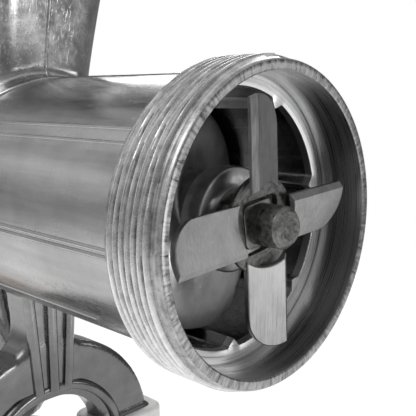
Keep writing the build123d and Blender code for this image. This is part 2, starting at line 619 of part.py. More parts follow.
os.makedirs("parts", exist_ok=True)
for name, make in PARTS.items():
    export_step(make(), os.path.join("parts", name + ".step"))
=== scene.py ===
import math

import bmesh
import bpy
import numpy as np
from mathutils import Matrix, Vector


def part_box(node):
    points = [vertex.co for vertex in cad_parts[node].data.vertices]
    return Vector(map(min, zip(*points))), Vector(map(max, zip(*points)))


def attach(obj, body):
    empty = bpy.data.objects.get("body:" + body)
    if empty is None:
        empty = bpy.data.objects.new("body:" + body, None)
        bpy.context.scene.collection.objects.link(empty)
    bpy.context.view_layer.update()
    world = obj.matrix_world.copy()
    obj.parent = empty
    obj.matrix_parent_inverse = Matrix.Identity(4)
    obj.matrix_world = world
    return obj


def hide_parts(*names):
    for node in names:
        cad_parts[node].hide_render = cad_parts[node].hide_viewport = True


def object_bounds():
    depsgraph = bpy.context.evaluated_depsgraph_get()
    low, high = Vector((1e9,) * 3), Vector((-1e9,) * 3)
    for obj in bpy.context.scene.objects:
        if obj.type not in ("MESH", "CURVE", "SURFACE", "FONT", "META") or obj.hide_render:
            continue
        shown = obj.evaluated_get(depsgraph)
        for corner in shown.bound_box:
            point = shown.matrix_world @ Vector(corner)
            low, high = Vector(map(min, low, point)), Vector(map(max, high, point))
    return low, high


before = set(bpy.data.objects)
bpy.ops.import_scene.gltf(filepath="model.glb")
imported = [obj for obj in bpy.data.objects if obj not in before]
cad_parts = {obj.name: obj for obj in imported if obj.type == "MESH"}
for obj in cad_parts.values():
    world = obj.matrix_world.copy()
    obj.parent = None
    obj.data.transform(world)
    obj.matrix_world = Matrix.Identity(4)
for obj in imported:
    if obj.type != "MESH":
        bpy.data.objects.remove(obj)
cad_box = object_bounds()

# Hand crank meat grinder. Lengths below are in millimetres, and a piece's mesh is written in metres.
MM = 0.001


def span(node, axis):
    """A CAD node's lowest and highest place along an axis, in millimetres."""
    low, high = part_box(node)
    return low[axis] / MM, high[axis] / MM


def middle(node, axis):
    """The middle of a CAD node along an axis, in millimetres."""
    return sum(span(node, axis)) / 2


# ---- Sizes taken from the frame
AXIS_Z = middle("auger_shaft", 2)
RIM_X = span("barrel_casting", 0)[1]
BEARING_X = span("rear_bush", 0)[0]
BOSS_X = span("barrel_casting", 0)[0]
NOSE_X = span("auger_screw", 0)[1]
HOPPER_TOP = span("hopper_casting", 2)[1]
GRIP_Z = middle("wooden_grip", 2)
DISC_TOP = span("clamp_pad_disc", 2)[1]
FLOOR_Z = cad_box[0][2] / MM - 1.0

# ---- Barrel mouth
BARREL_R = 35.0
BORE_R = 32.0
THREAD_R = 39.0
THREAD_DEPTH = 1.1
THREAD_PITCH = 1.84
THREAD_TURNS = 7
COLLAR = 3.3
RIM_R = 37.4
SEAT_R = 35.3
SEAT_X = RIM_X - 12.9
STEP_DROP = 1.3
RIFLE_COUNT = 7
RIFLE_HEIGHT = 2.2
RIFLE_HALF = 3.9          # degrees
RIFLE_PHASE = -143.5
THREAD_X = RIM_X - COLLAR - THREAD_TURNS * THREAD_PITCH
LINING_X = 50.0

# ---- Casting
REAR_X = RIM_X - 152.0
THROAT_X = 8.0
THROAT_HALF = (27.5, 22.5)
HOPPER_HALF = (60.0, 46.0)
THROAT_CORNER = 12.0
HOPPER_CORNER = 30.0
WALL = 3.2
LEG_X = 20.0
LEG_FRONT = 32.0
ARCH_Z = 2.0
CELL = 1.32


# ======== Mesh makers
def piece(name, points, faces, material, sharp=32.0):
    """Object from points in millimetres, smooth but for edges sharper than an angle."""
    mesh = bpy.data.meshes.new(name)
    mesh.from_pydata((np.asarray(points, float) * MM).tolist(), [], faces)
    work = bmesh.new()
    work.from_mesh(mesh)
    bmesh.ops.remove_doubles(work, verts=work.verts, dist=1e-6)
    bmesh.ops.dissolve_degenerate(work, edges=work.edges, dist=1e-7)
    bmesh.ops.recalc_face_normals(work, faces=work.faces)
    work.to_mesh(mesh)
    work.free()
    return finish_mesh(name, mesh, material, sharp)


def finish_mesh(name, mesh, material, sharp=32.0):
    """The mesh as an object, smooth but for edges sharper than an angle, with its materials."""
    mesh.shade_smooth()
    mesh.set_sharp_from_angle(angle=math.radians(sharp))
    obj = bpy.data.objects.new(name, mesh)
    bpy.context.scene.collection.objects.link(obj)
    for one in material if isinstance(material, (list, tuple)) else [material]:
        mesh.materials.append(one)
    return obj


def ring_angles(count):
    """Even angles round a full turn, in radians."""
    return np.arange(count) * 2 * np.pi / count


def lathe(stations, count=96, axis="x", centre=(0.0, 0.0)):
    """Points and faces of a turned shape. A station is (place along the axis, radius), where the
    radius is a number or an array over the angles. The angle runs from +Y to +Z, or from +X to +Y."""
    angles = ring_angles(count)
    rings = []
    for place, radius in stations:
        radius = np.broadcast_to(np.asarray(radius, float), (count,))
        place = np.broadcast_to(np.asarray(place, float), (count,))
        across, up = radius * np.cos(angles) + centre[0], radius * np.sin(angles) + centre[1]
        rings.append(np.stack([place, across, up] if axis == "x" else [across, up, place], axis=1))
    total = len(rings)
    faces = []
    for ring in range(total):
        a, b = ring * count, ((ring + 1) % total) * count
        faces += [(a + i, a + (i + 1) % count, b + (i + 1) % count, b + i) for i in range(count)]
    return np.concatenate(rings), faces


def turned(name, stations, material, count=96, axis="x", centre=None, sharp=32.0):
    """A lathe shape as an object, on the barrel's axis or the clamp screw's unless told otherwise."""
    if centre is None:
        centre = (0.0, AXIS_Z) if axis == "x" else (0.0, 0.0)
    points, faces = lathe(stations, count, axis, centre)
    return piece(name, points, faces, material, sharp)


def rounded_square(side, corner, count, phase=0.0):
    """Radius over the angles of a square with round corners."""
    angle = (ring_angles(count) - math.radians(phase) + np.pi / 4) % (np.pi / 2) - np.pi / 4
    half = side / 2
    flat = half / np.cos(angle)
    inset = half - corner
    toward = np.abs(angle)
    along = inset * np.cos(toward) + inset * np.sin(toward)
    reach = along + np.sqrt(np.maximum(along ** 2 - 2 * inset ** 2 + corner ** 2, 0))
    return np.where(half * np.tan(toward) > inset, reach, flat)


def smooth(value, low, high):
    """0 below low, 1 above high, and an S curve between."""
    t = np.clip((value - low) / (high - low), 0, 1)
    return t * t * (3 - 2 * t)


def joined(name, objects):
    """One object made of several, with their materials kept."""
    work = bmesh.new()
    slots = []
    for obj in objects:
        start = len(work.faces)
        work.from_mesh(obj.data)
        work.faces.ensure_lookup_table()
        offset = len(slots)
        slots += list(obj.data.materials)
        for face in work.faces[start:]:
            face.material_index += offset
    mesh = bpy.data.meshes.new(name)
    work.to_mesh(mesh)
    work.free()
    for obj in objects:
        bpy.data.objects.remove(obj)
    obj = bpy.data.objects.new(name, mesh)
    bpy.context.scene.collection.objects.link(obj)
    for slot in slots:
        mesh.materials.append(slot)
    return obj


# ======== Node trees for what repeats or follows a path
class Growth:
    """Short hand for one geometry node tree with named inputs."""

    def __init__(self, name, settings):
        self.tree = bpy.data.node_groups.new(name, "GeometryNodeTree")
        face = self.tree.interface
        face.new_socket("Geometry", in_out="INPUT", socket_type="NodeSocketGeometry")
        face.new_socket("Geometry", in_out="OUTPUT", socket_type="NodeSocketGeometry")
        for label, kind, value in settings:
            face.new_socket(label, in_out="INPUT", socket_type=kind).default_value = value
        self.start = self.tree.nodes.new("NodeGroupInput")
        self.end = self.tree.nodes.new("NodeGroupOutput")

    def node(self, kind, links=(), **values):
        made = self.tree.nodes.new(kind)
        for key, value in values.items():
            setattr(made, key, value)
        for socket, source in links:
            if hasattr(source, "is_output"):
                self.tree.links.new(source, made.inputs[socket])
            else:
                made.inputs[socket].default_value = source
        return made

    def close(self, geometry, material):
        real = self.node("GeometryNodeRealizeInstances", [("Geometry", geometry)])
        dressed = self.node("GeometryNodeSetMaterial", [("Geometry", real.outputs["Geometry"]),
                                                        ("Material", material)])
        self.tree.links.new(dressed.outputs["Geometry"], self.end.inputs["Geometry"])


def grown(name, source, tree, settings, sharp=40.0):
    """Plain mesh object made by a node tree from a source mesh."""
    maker = bpy.data.objects.new(name + "_maker", source)
    bpy.context.scene.collection.objects.link(maker)
    modifier = maker.modifiers.new("growth", "NODES")
    modifier.node_group = tree
    for item in tree.interface.items_tree:
        if item.in_out == "INPUT" and item.name in settings:
            modifier[item.identifier] = settings[item.name]
    graph = bpy.context.evaluated_depsgraph_get()
    graph.update()
    mesh = bpy.data.meshes.new_from_object(maker.evaluated_get(graph))
    mesh.name = name
    maker.modifiers.remove(modifier)
    bpy.data.objects.remove(maker)
    mesh.shade_smooth()
    mesh.set_sharp_from_angle(angle=math.radians(sharp))
    obj = bpy.data.objects.new(name, mesh)
    bpy.context.scene.collection.objects.link(obj)
    return obj


def bead_tree():
    """Rounded bead along a path."""
    if "bead_along_path" in bpy.data.node_groups:
        return bpy.data.node_groups["bead_along_path"]
    g = Growth("bead_along_path", [("Bead radius", "NodeSocketFloat", 0.0005),
                                   ("Sides", "NodeSocketInt", 12)])
    path = g.node("GeometryNodeMeshToCurve", [("Mesh", g.start.outputs["Geometry"])])
    ring = g.node("GeometryNodeCurvePrimitiveCircle", [("Resolution", g.start.outputs["Sides"]),
                                                       ("Radius", g.start.outputs["Bead radius"])])
    tube = g.node("GeometryNodeCurveToMesh", [("Curve", path.outputs["Curve"]),
                                              ("Profile Curve", ring.outputs["Curve"]), ("Fill Caps", True)])
    g.close(tube.outputs["Mesh"], MAT["cast"])
    return g.tree


def round_axis_tree(label, material):
    """Copies of one shape, evenly spaced round the barrel axis."""
    g = Growth(label, [("Count", "NodeSocketInt", 4), ("First angle", "NodeSocketFloat", 0.0)])
    spots = g.node("GeometryNodeMeshLine", [("Count", g.start.outputs["Count"]),
                                            ("Start Location", (0, 0, AXIS_Z * MM)), ("Offset", (0, 0, 0))])
    share = g.node("ShaderNodeMath", [(0, 2 * math.pi), (1, g.start.outputs["Count"])], operation="DIVIDE")
    index = g.node("GeometryNodeInputIndex")
    angle = g.node("ShaderNodeMath", [(0, index.outputs["Index"]), (1, share.outputs["Value"]),
                                      (2, g.start.outputs["First angle"])], operation="MULTIPLY_ADD")
    turn = g.node("ShaderNodeCombineXYZ", [("X", angle.outputs["Value"])])
    copies = g.node("GeometryNodeInstanceOnPoints", [("Points", spots.outputs["Mesh"]),
                                                     ("Instance", g.start.outputs["Geometry"]),
                                                     ("Rotation", turn.outputs["Vector"])])
    g.close(copies.outputs["Instances"], material)
    return g.tree


# ======== Distance fields for the castings
def meet(a, b, blend):
    """Two solids joined with a cast fillet."""
    h = np.clip(0.5 + 0.5 * (b - a) / blend, 0, 1)
    return b + (a - b) * h - blend * h * (1 - h)


def carve(a, b, blend=0.8):
    """The solid a with b taken out, its rim softened."""
    return -meet(-a, b, blend)


def rounded(flat, along, radius):
    """A flat outline's distance with a distance along its depth, edges rounded."""
    u, v = flat + radius, along + radius
    return np.sqrt(np.maximum(u, 0) ** 2 + np.maximum(v, 0) ** 2) + np.minimum(np.maximum(u, v), 0) - radius


def bar(value, low, high):
    return np.abs(value - (low + high) / 2) - (high - low) / 2


def rounded_box(u, v, half_u, half_v, corner):
    du, dv = np.abs(u) - half_u + corner, np.abs(v) - half_v + corner
    outside = np.sqrt(np.maximum(du, 0) ** 2 + np.maximum(dv, 0) ** 2)
    return outside + np.minimum(np.maximum(du, dv), 0) - corner


def polygon(u, v, corners):
    """Distance to a polygon."""
    best = None
    inside = np.zeros(np.broadcast(u, v).shape, bool)
    for (u0, v0), (u1, v1) in zip(corners, corners[1:] + corners[:1]):
        du, dv = u1 - u0, v1 - v0
        t = np.clip(((u - u0) * du + (v - v0) * dv) / (du * du + dv * dv), 0, 1)
        gap = (u - u0 - t * du) ** 2 + (v - v0 - t * dv) ** 2
        best = gap if best is None else np.minimum(best, gap)
        if v0 != v1:
            crosses = ((v0 > v) != (v1 > v)) & (u < du * (v - v0) / dv + u0)
            inside ^= crosses
    return np.where(inside, -1, 1) * np.sqrt(best)


def net(field, low, high, cell):
    """Mesh of a field's zero surface: a vertex for each crossed cell, then slid on to the surface."""
    axes = [np.arange(low[i], high[i] + cell, cell) for i in range(3)]
    x, y, z = axes[0][:, None, None], axes[1][None, :, None], axes[2][None, None, :]
    value = np.asarray(field(x, y, z), np.float32)
    inside = value < 0
    shape = [len(a) - 1 for a in axes]
    corners = [(i, j, k) for i in (0, 1) for j in (0, 1) for k in (0, 1)]

    def view(array, c):
        return array[c[0]:c[0] + shape[0], c[1]:c[1] + shape[1], c[2]:c[2] + shape[2]]

    count = sum(view(inside, c).astype(np.int8) for c in corners)
    active = (count > 0) & (count < 8)
    index = np.full(shape, -1, np.int64)
    cells = np.argwhere(active)
    index[active] = np.arange(len(cells))
    total, hits = np.zeros((len(cells), 3)), np.zeros(len(cells))
    for a in corners:
        for axis in range(3):
            if a[axis]:
                continue
            b = tuple(1 if i == axis else a[i] for i in range(3))
            va = value[tuple((cells + a).T)]
            vb = value[tuple((cells + b).T)]
            cross = (va < 0) != (vb < 0)
            t = np.where(cross, va / np.where(cross, va - vb, 1), 0)
            spot = np.array(a, float)[None, :].repeat(len(cells), 0)
            spot[:, axis] += t
            total[cross] += spot[cross]
            hits[cross] += 1
    points = np.array(low) + (cells + total / hits[:, None]) * cell
    quads = []
    for axis in range(3):
        u, v = [i for i in range(3) if i != axis]
        lower = [slice(None)] * 3
        upper = [slice(None)] * 3
        lower[axis], upper[axis] = slice(None, -1), slice(1, None)
        change = inside[tuple(lower)] != inside[tuple(upper)]
        spots = np.argwhere(change)
        above = (spots[:, u] > 0) & (spots[:, v] > 0)
        spots = spots[above & (spots[:, u] < shape[u]) & (spots[:, v] < shape[v])]
        step_u, step_v = np.eye(3, dtype=int)[u], np.eye(3, dtype=int)[v]
        ring = [index[tuple((spots - o).T)] for o in (step_u + step_v, step_v, 0 * step_u, step_u)]
        quad = np.stack(ring, axis=1)
        flip = inside[tuple(spots.T)] ^ (axis == 1)
        quad[~flip] = quad[~flip][:, ::-1]
        quads.append(quad)
    quads = np.concatenate(quads)
    for _ in range(3):
        px, py, pz = points.T
        here = field(px, py, pz)
        step = 0.05
        slope = np.stack([field(px + step, py, pz) - field(px - step, py, pz),
                          field(px, py + step, pz) - field(px, py - step, pz),
                          field(px, py, pz + step) - field(px, py, pz - step)], axis=1) / (2 * step)
        size = np.maximum((slope ** 2).sum(1), 0.05)
        move = slope * (here / size)[:, None]
        length = np.sqrt((move ** 2).sum(1))
        points = points - move * np.minimum(1, 0.4 * cell / np.maximum(length, 1e-9))[:, None]
    return points, quads


def cast(name, field, low, high, cell, material):
    """A distance field meshed inside a box, as an object."""
    points, quads = net(field, low, high, cell)
    mesh = bpy.data.meshes.new(name)
    mesh.from_pydata((points * MM).tolist(), [], quads.tolist())
    work = bmesh.new()
    work.from_mesh(mesh)
    bmesh.ops.recalc_face_normals(work, faces=work.faces)
    work.to_mesh(mesh)
    work.free()
    return finish_mesh(name, mesh, material, 180.0)


# ======== Materials
class Paint:
    """Short hand for one node material."""

    def __init__(self, name, colour, metallic=0.0, roughness=0.5):
        self.material = bpy.data.materials.new(name)
        self.material.use_nodes = True
        self.tree = self.material.node_tree
        self.shader = self.tree.nodes["Principled BSDF"]
        self.shader.inputs["Base Color"].default_value = (*colour, 1)
        self.shader.inputs["Metallic"].default_value = metallic
        self.shader.inputs["Roughness"].default_value = roughness
        self.coords = self.tree.nodes.new("ShaderNodeTexCoord").outputs["Object"]
        self.bumps = None

    def link(self, source, target):
        self.tree.links.new(source, target)

    def mapped(self, scale=(1, 1, 1), place=(0, 0, 0), turn=(0, 0, 0)):
        node = self.tree.nodes.new("ShaderNodeMapping")
        node.inputs["Scale"].default_value = scale
        node.inputs["Location"].default_value = place
        node.inputs["Rotation"].default_value = turn
        self.link(self.coords, node.inputs["Vector"])
        return node.outputs["Vector"]

    def noise(self, vector, scale, detail=3.0, rough=0.5):
        node = self.tree.nodes.new("ShaderNodeTexNoise")
        node.inputs["Scale"].default_value = scale
        node.inputs["Detail"].default_value = detail
        node.inputs["Roughness"].default_value = rough
        self.link(vector, node.inputs["Vector"])
        return node.outputs["Fac"]

    def maths(self, operation, a, b=0.0):
        node = self.tree.nodes.new("ShaderNodeMath")
        node.operation = operation
        for socket, value in zip(node.inputs, (a, b)):
            if isinstance(value, (int, float)):
                socket.default_value = value
            else:
                self.link(value, socket)
        return node.outputs["Value"]

    def ranged(self, value, low, high, to_low, to_high):
        node = self.tree.nodes.new("ShaderNodeMapRange")
        self.link(value, node.inputs["Value"])
        for key, number in zip(("From Min", "From Max", "To Min", "To Max"), (low, high, to_low, to_high)):
            node.inputs[key].default_value = number
        return node.outputs["Result"]

    def colour(self, value, stops):
        node = self.tree.nodes.new("ShaderNodeValToRGB")
        ramp = node.color_ramp
        while len(ramp.elements) < len(stops):
            ramp.elements.new(0.5)
        for element, (place, rgb) in zip(ramp.elements, stops):
            element.position = place
            element.color = (*rgb, 1)
        self.link(value, node.inputs["Fac"])
        self.link(node.outputs["Color"], self.shader.inputs["Base Color"])
        return node.outputs["Color"]

    def roughness(self, value, low, high, to_low, to_high):
        self.link(self.ranged(value, low, high, to_low, to_high), self.shader.inputs["Roughness"])

    def bump(self, height, distance_mm, strength=1.0):
        node = self.tree.nodes.new("ShaderNodeBump")
        node.inputs["Distance"].default_value = distance_mm * MM
        node.inputs["Strength"].default_value = strength
        self.link(height, node.inputs["Height"])
        if self.bumps is not None:
            self.link(self.bumps, node.inputs["Normal"])
        self.bumps = node.outputs["Normal"]
        self.link(self.bumps, self.shader.inputs["Normal"])

    def around_x(self):
        """Angle about the barrel axis, distance from it and place along it, as a vector."""
        split = self.tree.nodes.new("ShaderNodeSeparateXYZ")
        self.link(self.coords, split.inputs["Vector"])
        up = self.maths("SUBTRACT", split.outputs["Z"], AXIS_Z * MM)
        angle = self.maths("ARCTAN2", up, split.outputs["Y"])
        reach = self.maths("SQRT", self.maths("ADD", self.maths("MULTIPLY", up, up),
                                              self.maths("MULTIPLY", split.outputs["Y"], split.outputs["Y"])))
        return angle, reach, split.outputs["X"]

    def vector(self, a, b, c):
        node = self.tree.nodes.new("ShaderNodeCombineXYZ")
        for socket, value in zip(node.inputs, (a, b, c)):
            if isinstance(value, (int, float)):
                socket.default_value = value
            else:
                self.link(value, socket)
        return node.outputs["Vector"]


def cast_aluminium():
    """Satin casting, its colour darkened towards the bottom and the clamp as painted shade: cloudy, with
    orange peel, streaks and scratches.
    """
    p = Paint("cast_aluminium", (0.6, 0.6, 0.6), 1.0, 0.3)
    cloud = p.noise(p.mapped(), 45.0, 5.0, 0.6)
    split = p.tree.nodes.new("ShaderNodeSeparateXYZ")
    p.link(p.coords, split.inputs["Vector"])
    # painted shade: colour scaled from full above 108 mm down to a quarter at 35 mm, darker lower down
    painted_low_shade = p.ranged(split.outputs["Z"], 0.035, 0.108, 0.25, 1.0)
    smear = p.noise(p.mapped((0.07, 1, 1)), 170.0, 4.0, 0.6)
    tone = p.maths("ADD", p.maths("MULTIPLY", cloud, 0.45), p.maths("MULTIPLY", smear, 0.55))
    p.colour(p.maths("MULTIPLY", tone, painted_low_shade),
             [(0.05, (0.12, 0.12, 0.12)), (0.38, (0.38, 0.38, 0.38)), (0.62, (0.6, 0.6, 0.6))])
    streak = p.noise(p.mapped((0.12, 1, 1)), 700.0, 4.0, 0.6)
    mixed = p.maths("ADD", p.maths("MULTIPLY", tone, 0.6), p.maths("MULTIPLY", streak, 0.4))
    p.roughness(mixed, 0.35, 0.65, 0.13, 0.33)
    p.bump(p.noise(p.mapped(), 140.0, 3.0, 0.5), 0.08, 0.5)
    p.bump(p.noise(p.mapped(), 900.0, 4.0, 0.6), 0.02, 0.5)
    p.bump(streak, 0.02, 0.6)
    hatch = p.noise(p.mapped((1, 1, 0.05), turn=(math.radians(32), math.radians(20), 0)), 1400.0, 2.0, 0.5)
    patch = p.ranged(p.noise(p.mapped(), 38.0, 2.0, 0.5), 0.5, 0.62, 0, 1)
    p.bump(p.maths("MULTIPLY", p.ranged(hatch, 0.6, 0.66, 0, 1), patch), 0.05, 0.7)
    return p.material


def turned_aluminium():
    """Machined barrel mouth: rings left by the tool, with dull and bright turns."""
    p = Paint("turned_aluminium", (0.62, 0.62, 0.62), 1.0, 0.3)
    angle, reach, along = p.around_x()
    rings = p.noise(p.vector(p.maths("MULTIPLY", angle, 0.35), p.maths("MULTIPLY", reach, 900.0),
                             p.maths("MULTIPLY", along, 2600.0)), 1.0, 4.0, 0.6)
    cloud = p.noise(p.mapped(), 90.0, 4.0, 0.6)
    p.colour(p.maths("ADD", p.maths("MULTIPLY", rings, 0.6), p.maths("MULTIPLY", cloud, 0.4)),
             [(0.32, (0.44, 0.44, 0.44)), (0.68, (0.6, 0.6, 0.6))])
    p.roughness(rings, 0.3, 0.7, 0.22, 0.36)
    p.bump(rings, 0.008, 0.6)
    return p.material


def thread_aluminium():
    """Cut thread: bright, with fine lines along each turn and small nicks, painted shade in its roots and a
    painted highlight on its crests.
    """
    p = Paint("thread_aluminium", (0.75, 0.75, 0.75), 1.0, 0.25)
    angle, reach, along = p.around_x()
    lines = p.noise(p.vector(p.maths("MULTIPLY", angle, 0.8), p.maths("MULTIPLY", reach, 2600.0),
                             p.maths("MULTIPLY", along, 2600.0)), 1.0, 3.0, 0.6)
    nicks = p.noise(p.mapped(), 420.0, 4.0, 0.7)
    tone = p.maths("ADD", p.maths("MULTIPLY", lines, 0.5), p.maths("MULTIPLY", nicks, 0.5))
    # painted shade and highlight: colour scaled from 0.72 at the thread root to 1.25 at the crest
    painted_root_shade_crest_light = p.ranged(reach, (THREAD_R - THREAD_DEPTH) * MM, THREAD_R * MM, 0.72, 1.25)
    p.colour(p.maths("MULTIPLY", tone, painted_root_shade_crest_light),
             [(0.28, (0.25, 0.25, 0.25)), (0.42, (0.55, 0.55, 0.55)), (0.66, (0.88, 0.88, 0.88))])
    p.roughness(nicks, 0.3, 0.7, 0.2, 0.34)
    p.bump(nicks, 0.015, 0.5)
    p.bump(lines, 0.01, 0.6)
    return p.material


def rim_aluminium():
    """Face of the rim: short marks across it where the tool chattered."""
    p = Paint("rim_aluminium", (0.6, 0.6, 0.6), 1.0, 0.3)
    angle, reach = p.around_x()[:2]
    across = p.vector(p.maths("MULTIPLY", angle, 26.0), p.maths("MULTIPLY", reach, 180.0), 0.0)
    marks = p.noise(across, 1.6, 3.0, 0.6)
    p.colour(marks, [(0.3, (0.12, 0.12, 0.12)), (0.66, (0.5, 0.5, 0.5))])
    p.roughness(marks, 0.3, 0.7, 0.24, 0.45)
    p.bump(marks, 0.06, 0.7)
    return p.material


def seat_aluminium():
    """Freshly faced step inside the mouth: bright, with fine turning marks."""
    p = Paint("seat_aluminium", (0.85, 0.85, 0.85), 1.0, 0.25)
    angle, reach = p.around_x()[:2]
    across = p.vector(p.maths("MULTIPLY", angle, 0.6), p.maths("MULTIPLY", reach, 1500.0), 0.0)
    rings = p.noise(across, 1.0, 3.0, 0.6)
    p.colour(rings, [(0.3, (0.72, 0.72, 0.72)), (0.7, (0.95, 0.95, 0.95))])
    p.roughness(rings, 0.3, 0.7, 0.22, 0.4)
    p.bump(rings, 0.01, 0.6)
    return p.material


def knife_steel():
    """Ground blade steel: grinding lines across the blades, darker mottling between them."""
    p = Paint("knife_steel", (0.5, 0.5, 0.5), 1.0, 0.38)
    lines = p.noise(p.mapped((1, 1, 0.05), turn=(math.radians(24), 0, 0)), 2600.0, 4.0, 0.7)
    cloud = p.noise(p.mapped(), 160.0, 4.0, 0.6)
    p.colour(p.maths("ADD", p.maths("MULTIPLY", lines, 0.7), p.maths("MULTIPLY", cloud, 0.3)),
             [(0.3, (0.2, 0.2, 0.2)), (0.68, (0.48, 0.48, 0.48))])
    p.roughness(lines, 0.3, 0.7, 0.26, 0.5)
    p.bump(lines, 0.03, 0.8)
    return p.material


def shaft_steel():
    """Turned and worn shaft: dull steel with rings and a peppering of small pits."""
    p = Paint("shaft_steel", (0.3, 0.3, 0.29), 1.0, 0.4)
    angle, reach, along = p.around_x()
    rings = p.noise(p.vector(p.maths("MULTIPLY", angle, 0.5), p.maths("MULTIPLY", reach, 1500.0),
                             p.maths("MULTIPLY", along, 2500.0)), 1.0, 3.0, 0.6)
    pits = p.noise(p.mapped(), 1100.0, 3.0, 0.7)
    p.colour(p.maths("ADD", p.maths("MULTIPLY", rings, 0.4), p.maths("MULTIPLY", pits, 0.6)),
             [(0.32, (0.08, 0.08, 0.08)), (0.66, (0.3, 0.3, 0.29))])
    p.roughness(pits, 0.35, 0.65, 0.28, 0.5)
    p.bump(pits, 0.06, 0.7)
    p.bump(rings, 0.02, 0.5)
    return p.material


def tinned_iron():
    """Feed screw: a soft tinned skin over a slightly lumpy casting."""
    p = Paint("tinned_iron", (0.5, 0.5, 0.5), 1.0, 0.35)
    lumps = p.noise(p.mapped(), 120.0, 4.0, 0.55)
    grain = p.noise(p.mapped(), 700.0, 3.0, 0.6)
    p.colour(lumps, [(0.3, (0.36, 0.36, 0.36)), (0.7, (0.6, 0.6, 0.6))])
    p.roughness(grain, 0.3, 0.7, 0.28, 0.46)
    p.bump(lumps, 0.25, 0.5)
    p.bump(grain, 0.03, 0.6)
    return p.material


def plated_steel():
    """Zinc plated steel: faint turning marks and cloudy plating."""
    tone = 0.58
    p = Paint("plated_steel", (tone, tone, tone), 1.0, 0.28)
    cloud = p.noise(p.mapped(), 200.0, 4.0, 0.6)
    fine = p.noise(p.mapped(), 2200.0, 2.0, 0.5)
    p.colour(cloud, [(0.3, (tone * 0.78,) * 3), (0.7, (tone * 1.12,) * 3)])
    p.roughness(cloud, 0.3, 0.7, 0.2, 0.36)
    p.bump(fine, 0.015, 0.5)
    return p.material


def soft_pad():
    """White moulded pad: matte, with a fine grain and slightly grey scuffs."""
    p = Paint("soft_pad", (0.86, 0.86, 0.85), 0.0, 0.55)
    scuff = p.noise(p.mapped(), 130.0, 5.0, 0.6)
    p.colour(scuff, [(0.3, (0.74, 0.74, 0.73)), (0.55, (0.88, 0.88, 0.87))])
    p.roughness(scuff, 0.3, 0.7, 0.45, 0.62)
    p.bump(p.noise(p.mapped(), 1800.0, 2.0, 0.5), 0.03, 0.5)
    return p.material


def bearing_bronze():
    """Worn bearing bronze with fine turning marks."""
    p = Paint("bearing_bronze", (0.55, 0.38, 0.18), 1.0, 0.35)
    cloud = p.noise(p.mapped(), 180.0, 4.0, 0.6)
    p.colour(cloud, [(0.3, (0.4, 0.27, 0.12)), (0.7, (0.66, 0.47, 0.24))])
    p.roughness(cloud, 0.3, 0.7, 0.25, 0.42)
    p.bump(p.noise(p.mapped((1, 0.1, 0.1)), 2500.0, 2.0, 0.5), 0.02, 0.5)
    return p.material


def nylon():
    """Cream nylon, slightly mottled."""
    p = Paint("nylon", (0.82, 0.8, 0.72), 0.0, 0.45)
    cloud = p.noise(p.mapped(), 250.0, 3.0, 0.5)
    p.colour(cloud, [(0.3, (0.74, 0.72, 0.63)), (0.7, (0.84, 0.82, 0.75))])
    p.bump(cloud, 0.03, 0.4)
    return p.material


def beech():
    """Oiled beech, its grain along the handle: growth bands, pores and small flecks."""
    p = Paint("beech", (0.55, 0.33, 0.17), 0.0, 0.42)
    base = p.mapped((0.06, 1, 1), place=(0, 0, 0.031))
    warp = p.noise(base, 60.0, 3.0, 0.6)
    wave = p.tree.nodes.new("ShaderNodeTexWave")
    wave.wave_type = "BANDS"
    wave.bands_direction = "Z"
    wave.inputs["Scale"].default_value = 95.0
    wave.inputs["Distortion"].default_value = 5.0
    wave.inputs["Detail"].default_value = 3.0
    wave.inputs["Detail Scale"].default_value = 1.4
    p.link(base, wave.inputs["Vector"])
    pores = p.noise(p.mapped((0.05, 1, 1)), 2200.0, 2.0, 0.6)
    tone = p.maths("ADD", p.maths("MULTIPLY", wave.outputs["Fac"], 0.4),
                   p.maths("ADD", p.maths("MULTIPLY", warp, 0.3), p.maths("MULTIPLY", pores, 0.3)))
    p.colour(tone, [(0.25, (0.32, 0.16, 0.07)), (0.5, (0.52, 0.3, 0.14)), (0.75, (0.68, 0.44, 0.24))])
    p.roughness(pores, 0.3, 0.7, 0.34, 0.55)
    p.bump(pores, 0.05, 0.6)
    return p.material


MAT = {"cast": cast_aluminium(), "turned": turned_aluminium(), "rim": rim_aluminium(),
       "seat": seat_aluminium(), "thread": thread_aluminium(), "knife": knife_steel(),
       "shaft": shaft_steel(), "tinned": tinned_iron(), "plated": plated_steel(), "pad": soft_pad(),
       "bronze": bearing_bronze(), "nylon": nylon(), "beech": beech()}


def placed(obj, body, slot, *nodes):
    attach(obj, body)
    if nodes:
        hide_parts(*nodes)
    return obj


# ======== Camera, light and floor
def camera():
    """Camera in front of the mouth, towards -Y and a little above the barrel's axis."""
    data = bpy.data.cameras.new("camera")
    data.lens = 57.46
    data.sensor_width = 36.0
    data.clip_start = 0.01
    data.clip_end = 20.0
    obj = bpy.data.objects.new("camera", data)
    bpy.context.scene.collection.objects.link(obj)
    turn, tilt = math.radians(43.4), math.radians(9.5)
    obj.location = (0.21986, -0.11976, 0.12939)
    obj.rotation_euler = (math.pi / 2 - tilt, 0, turn)
    bpy.context.scene.camera = obj


def softbox(name, place, aim, size, power):
    data = bpy.data.lights.new(name, "AREA")
    data.shape = "RECTANGLE"
    data.size, data.size_y = size
    data.energy = power
    obj = bpy.data.objects.new(name, data)
    bpy.context.scene.collection.objects.link(obj)
    obj.location = place
    way = obj.location.copy()
    way.x, way.y, way.z = (place[i] - aim[i] for i in range(3))
    obj.rotation_euler = way.to_track_quat("Z", "Y").to_euler()


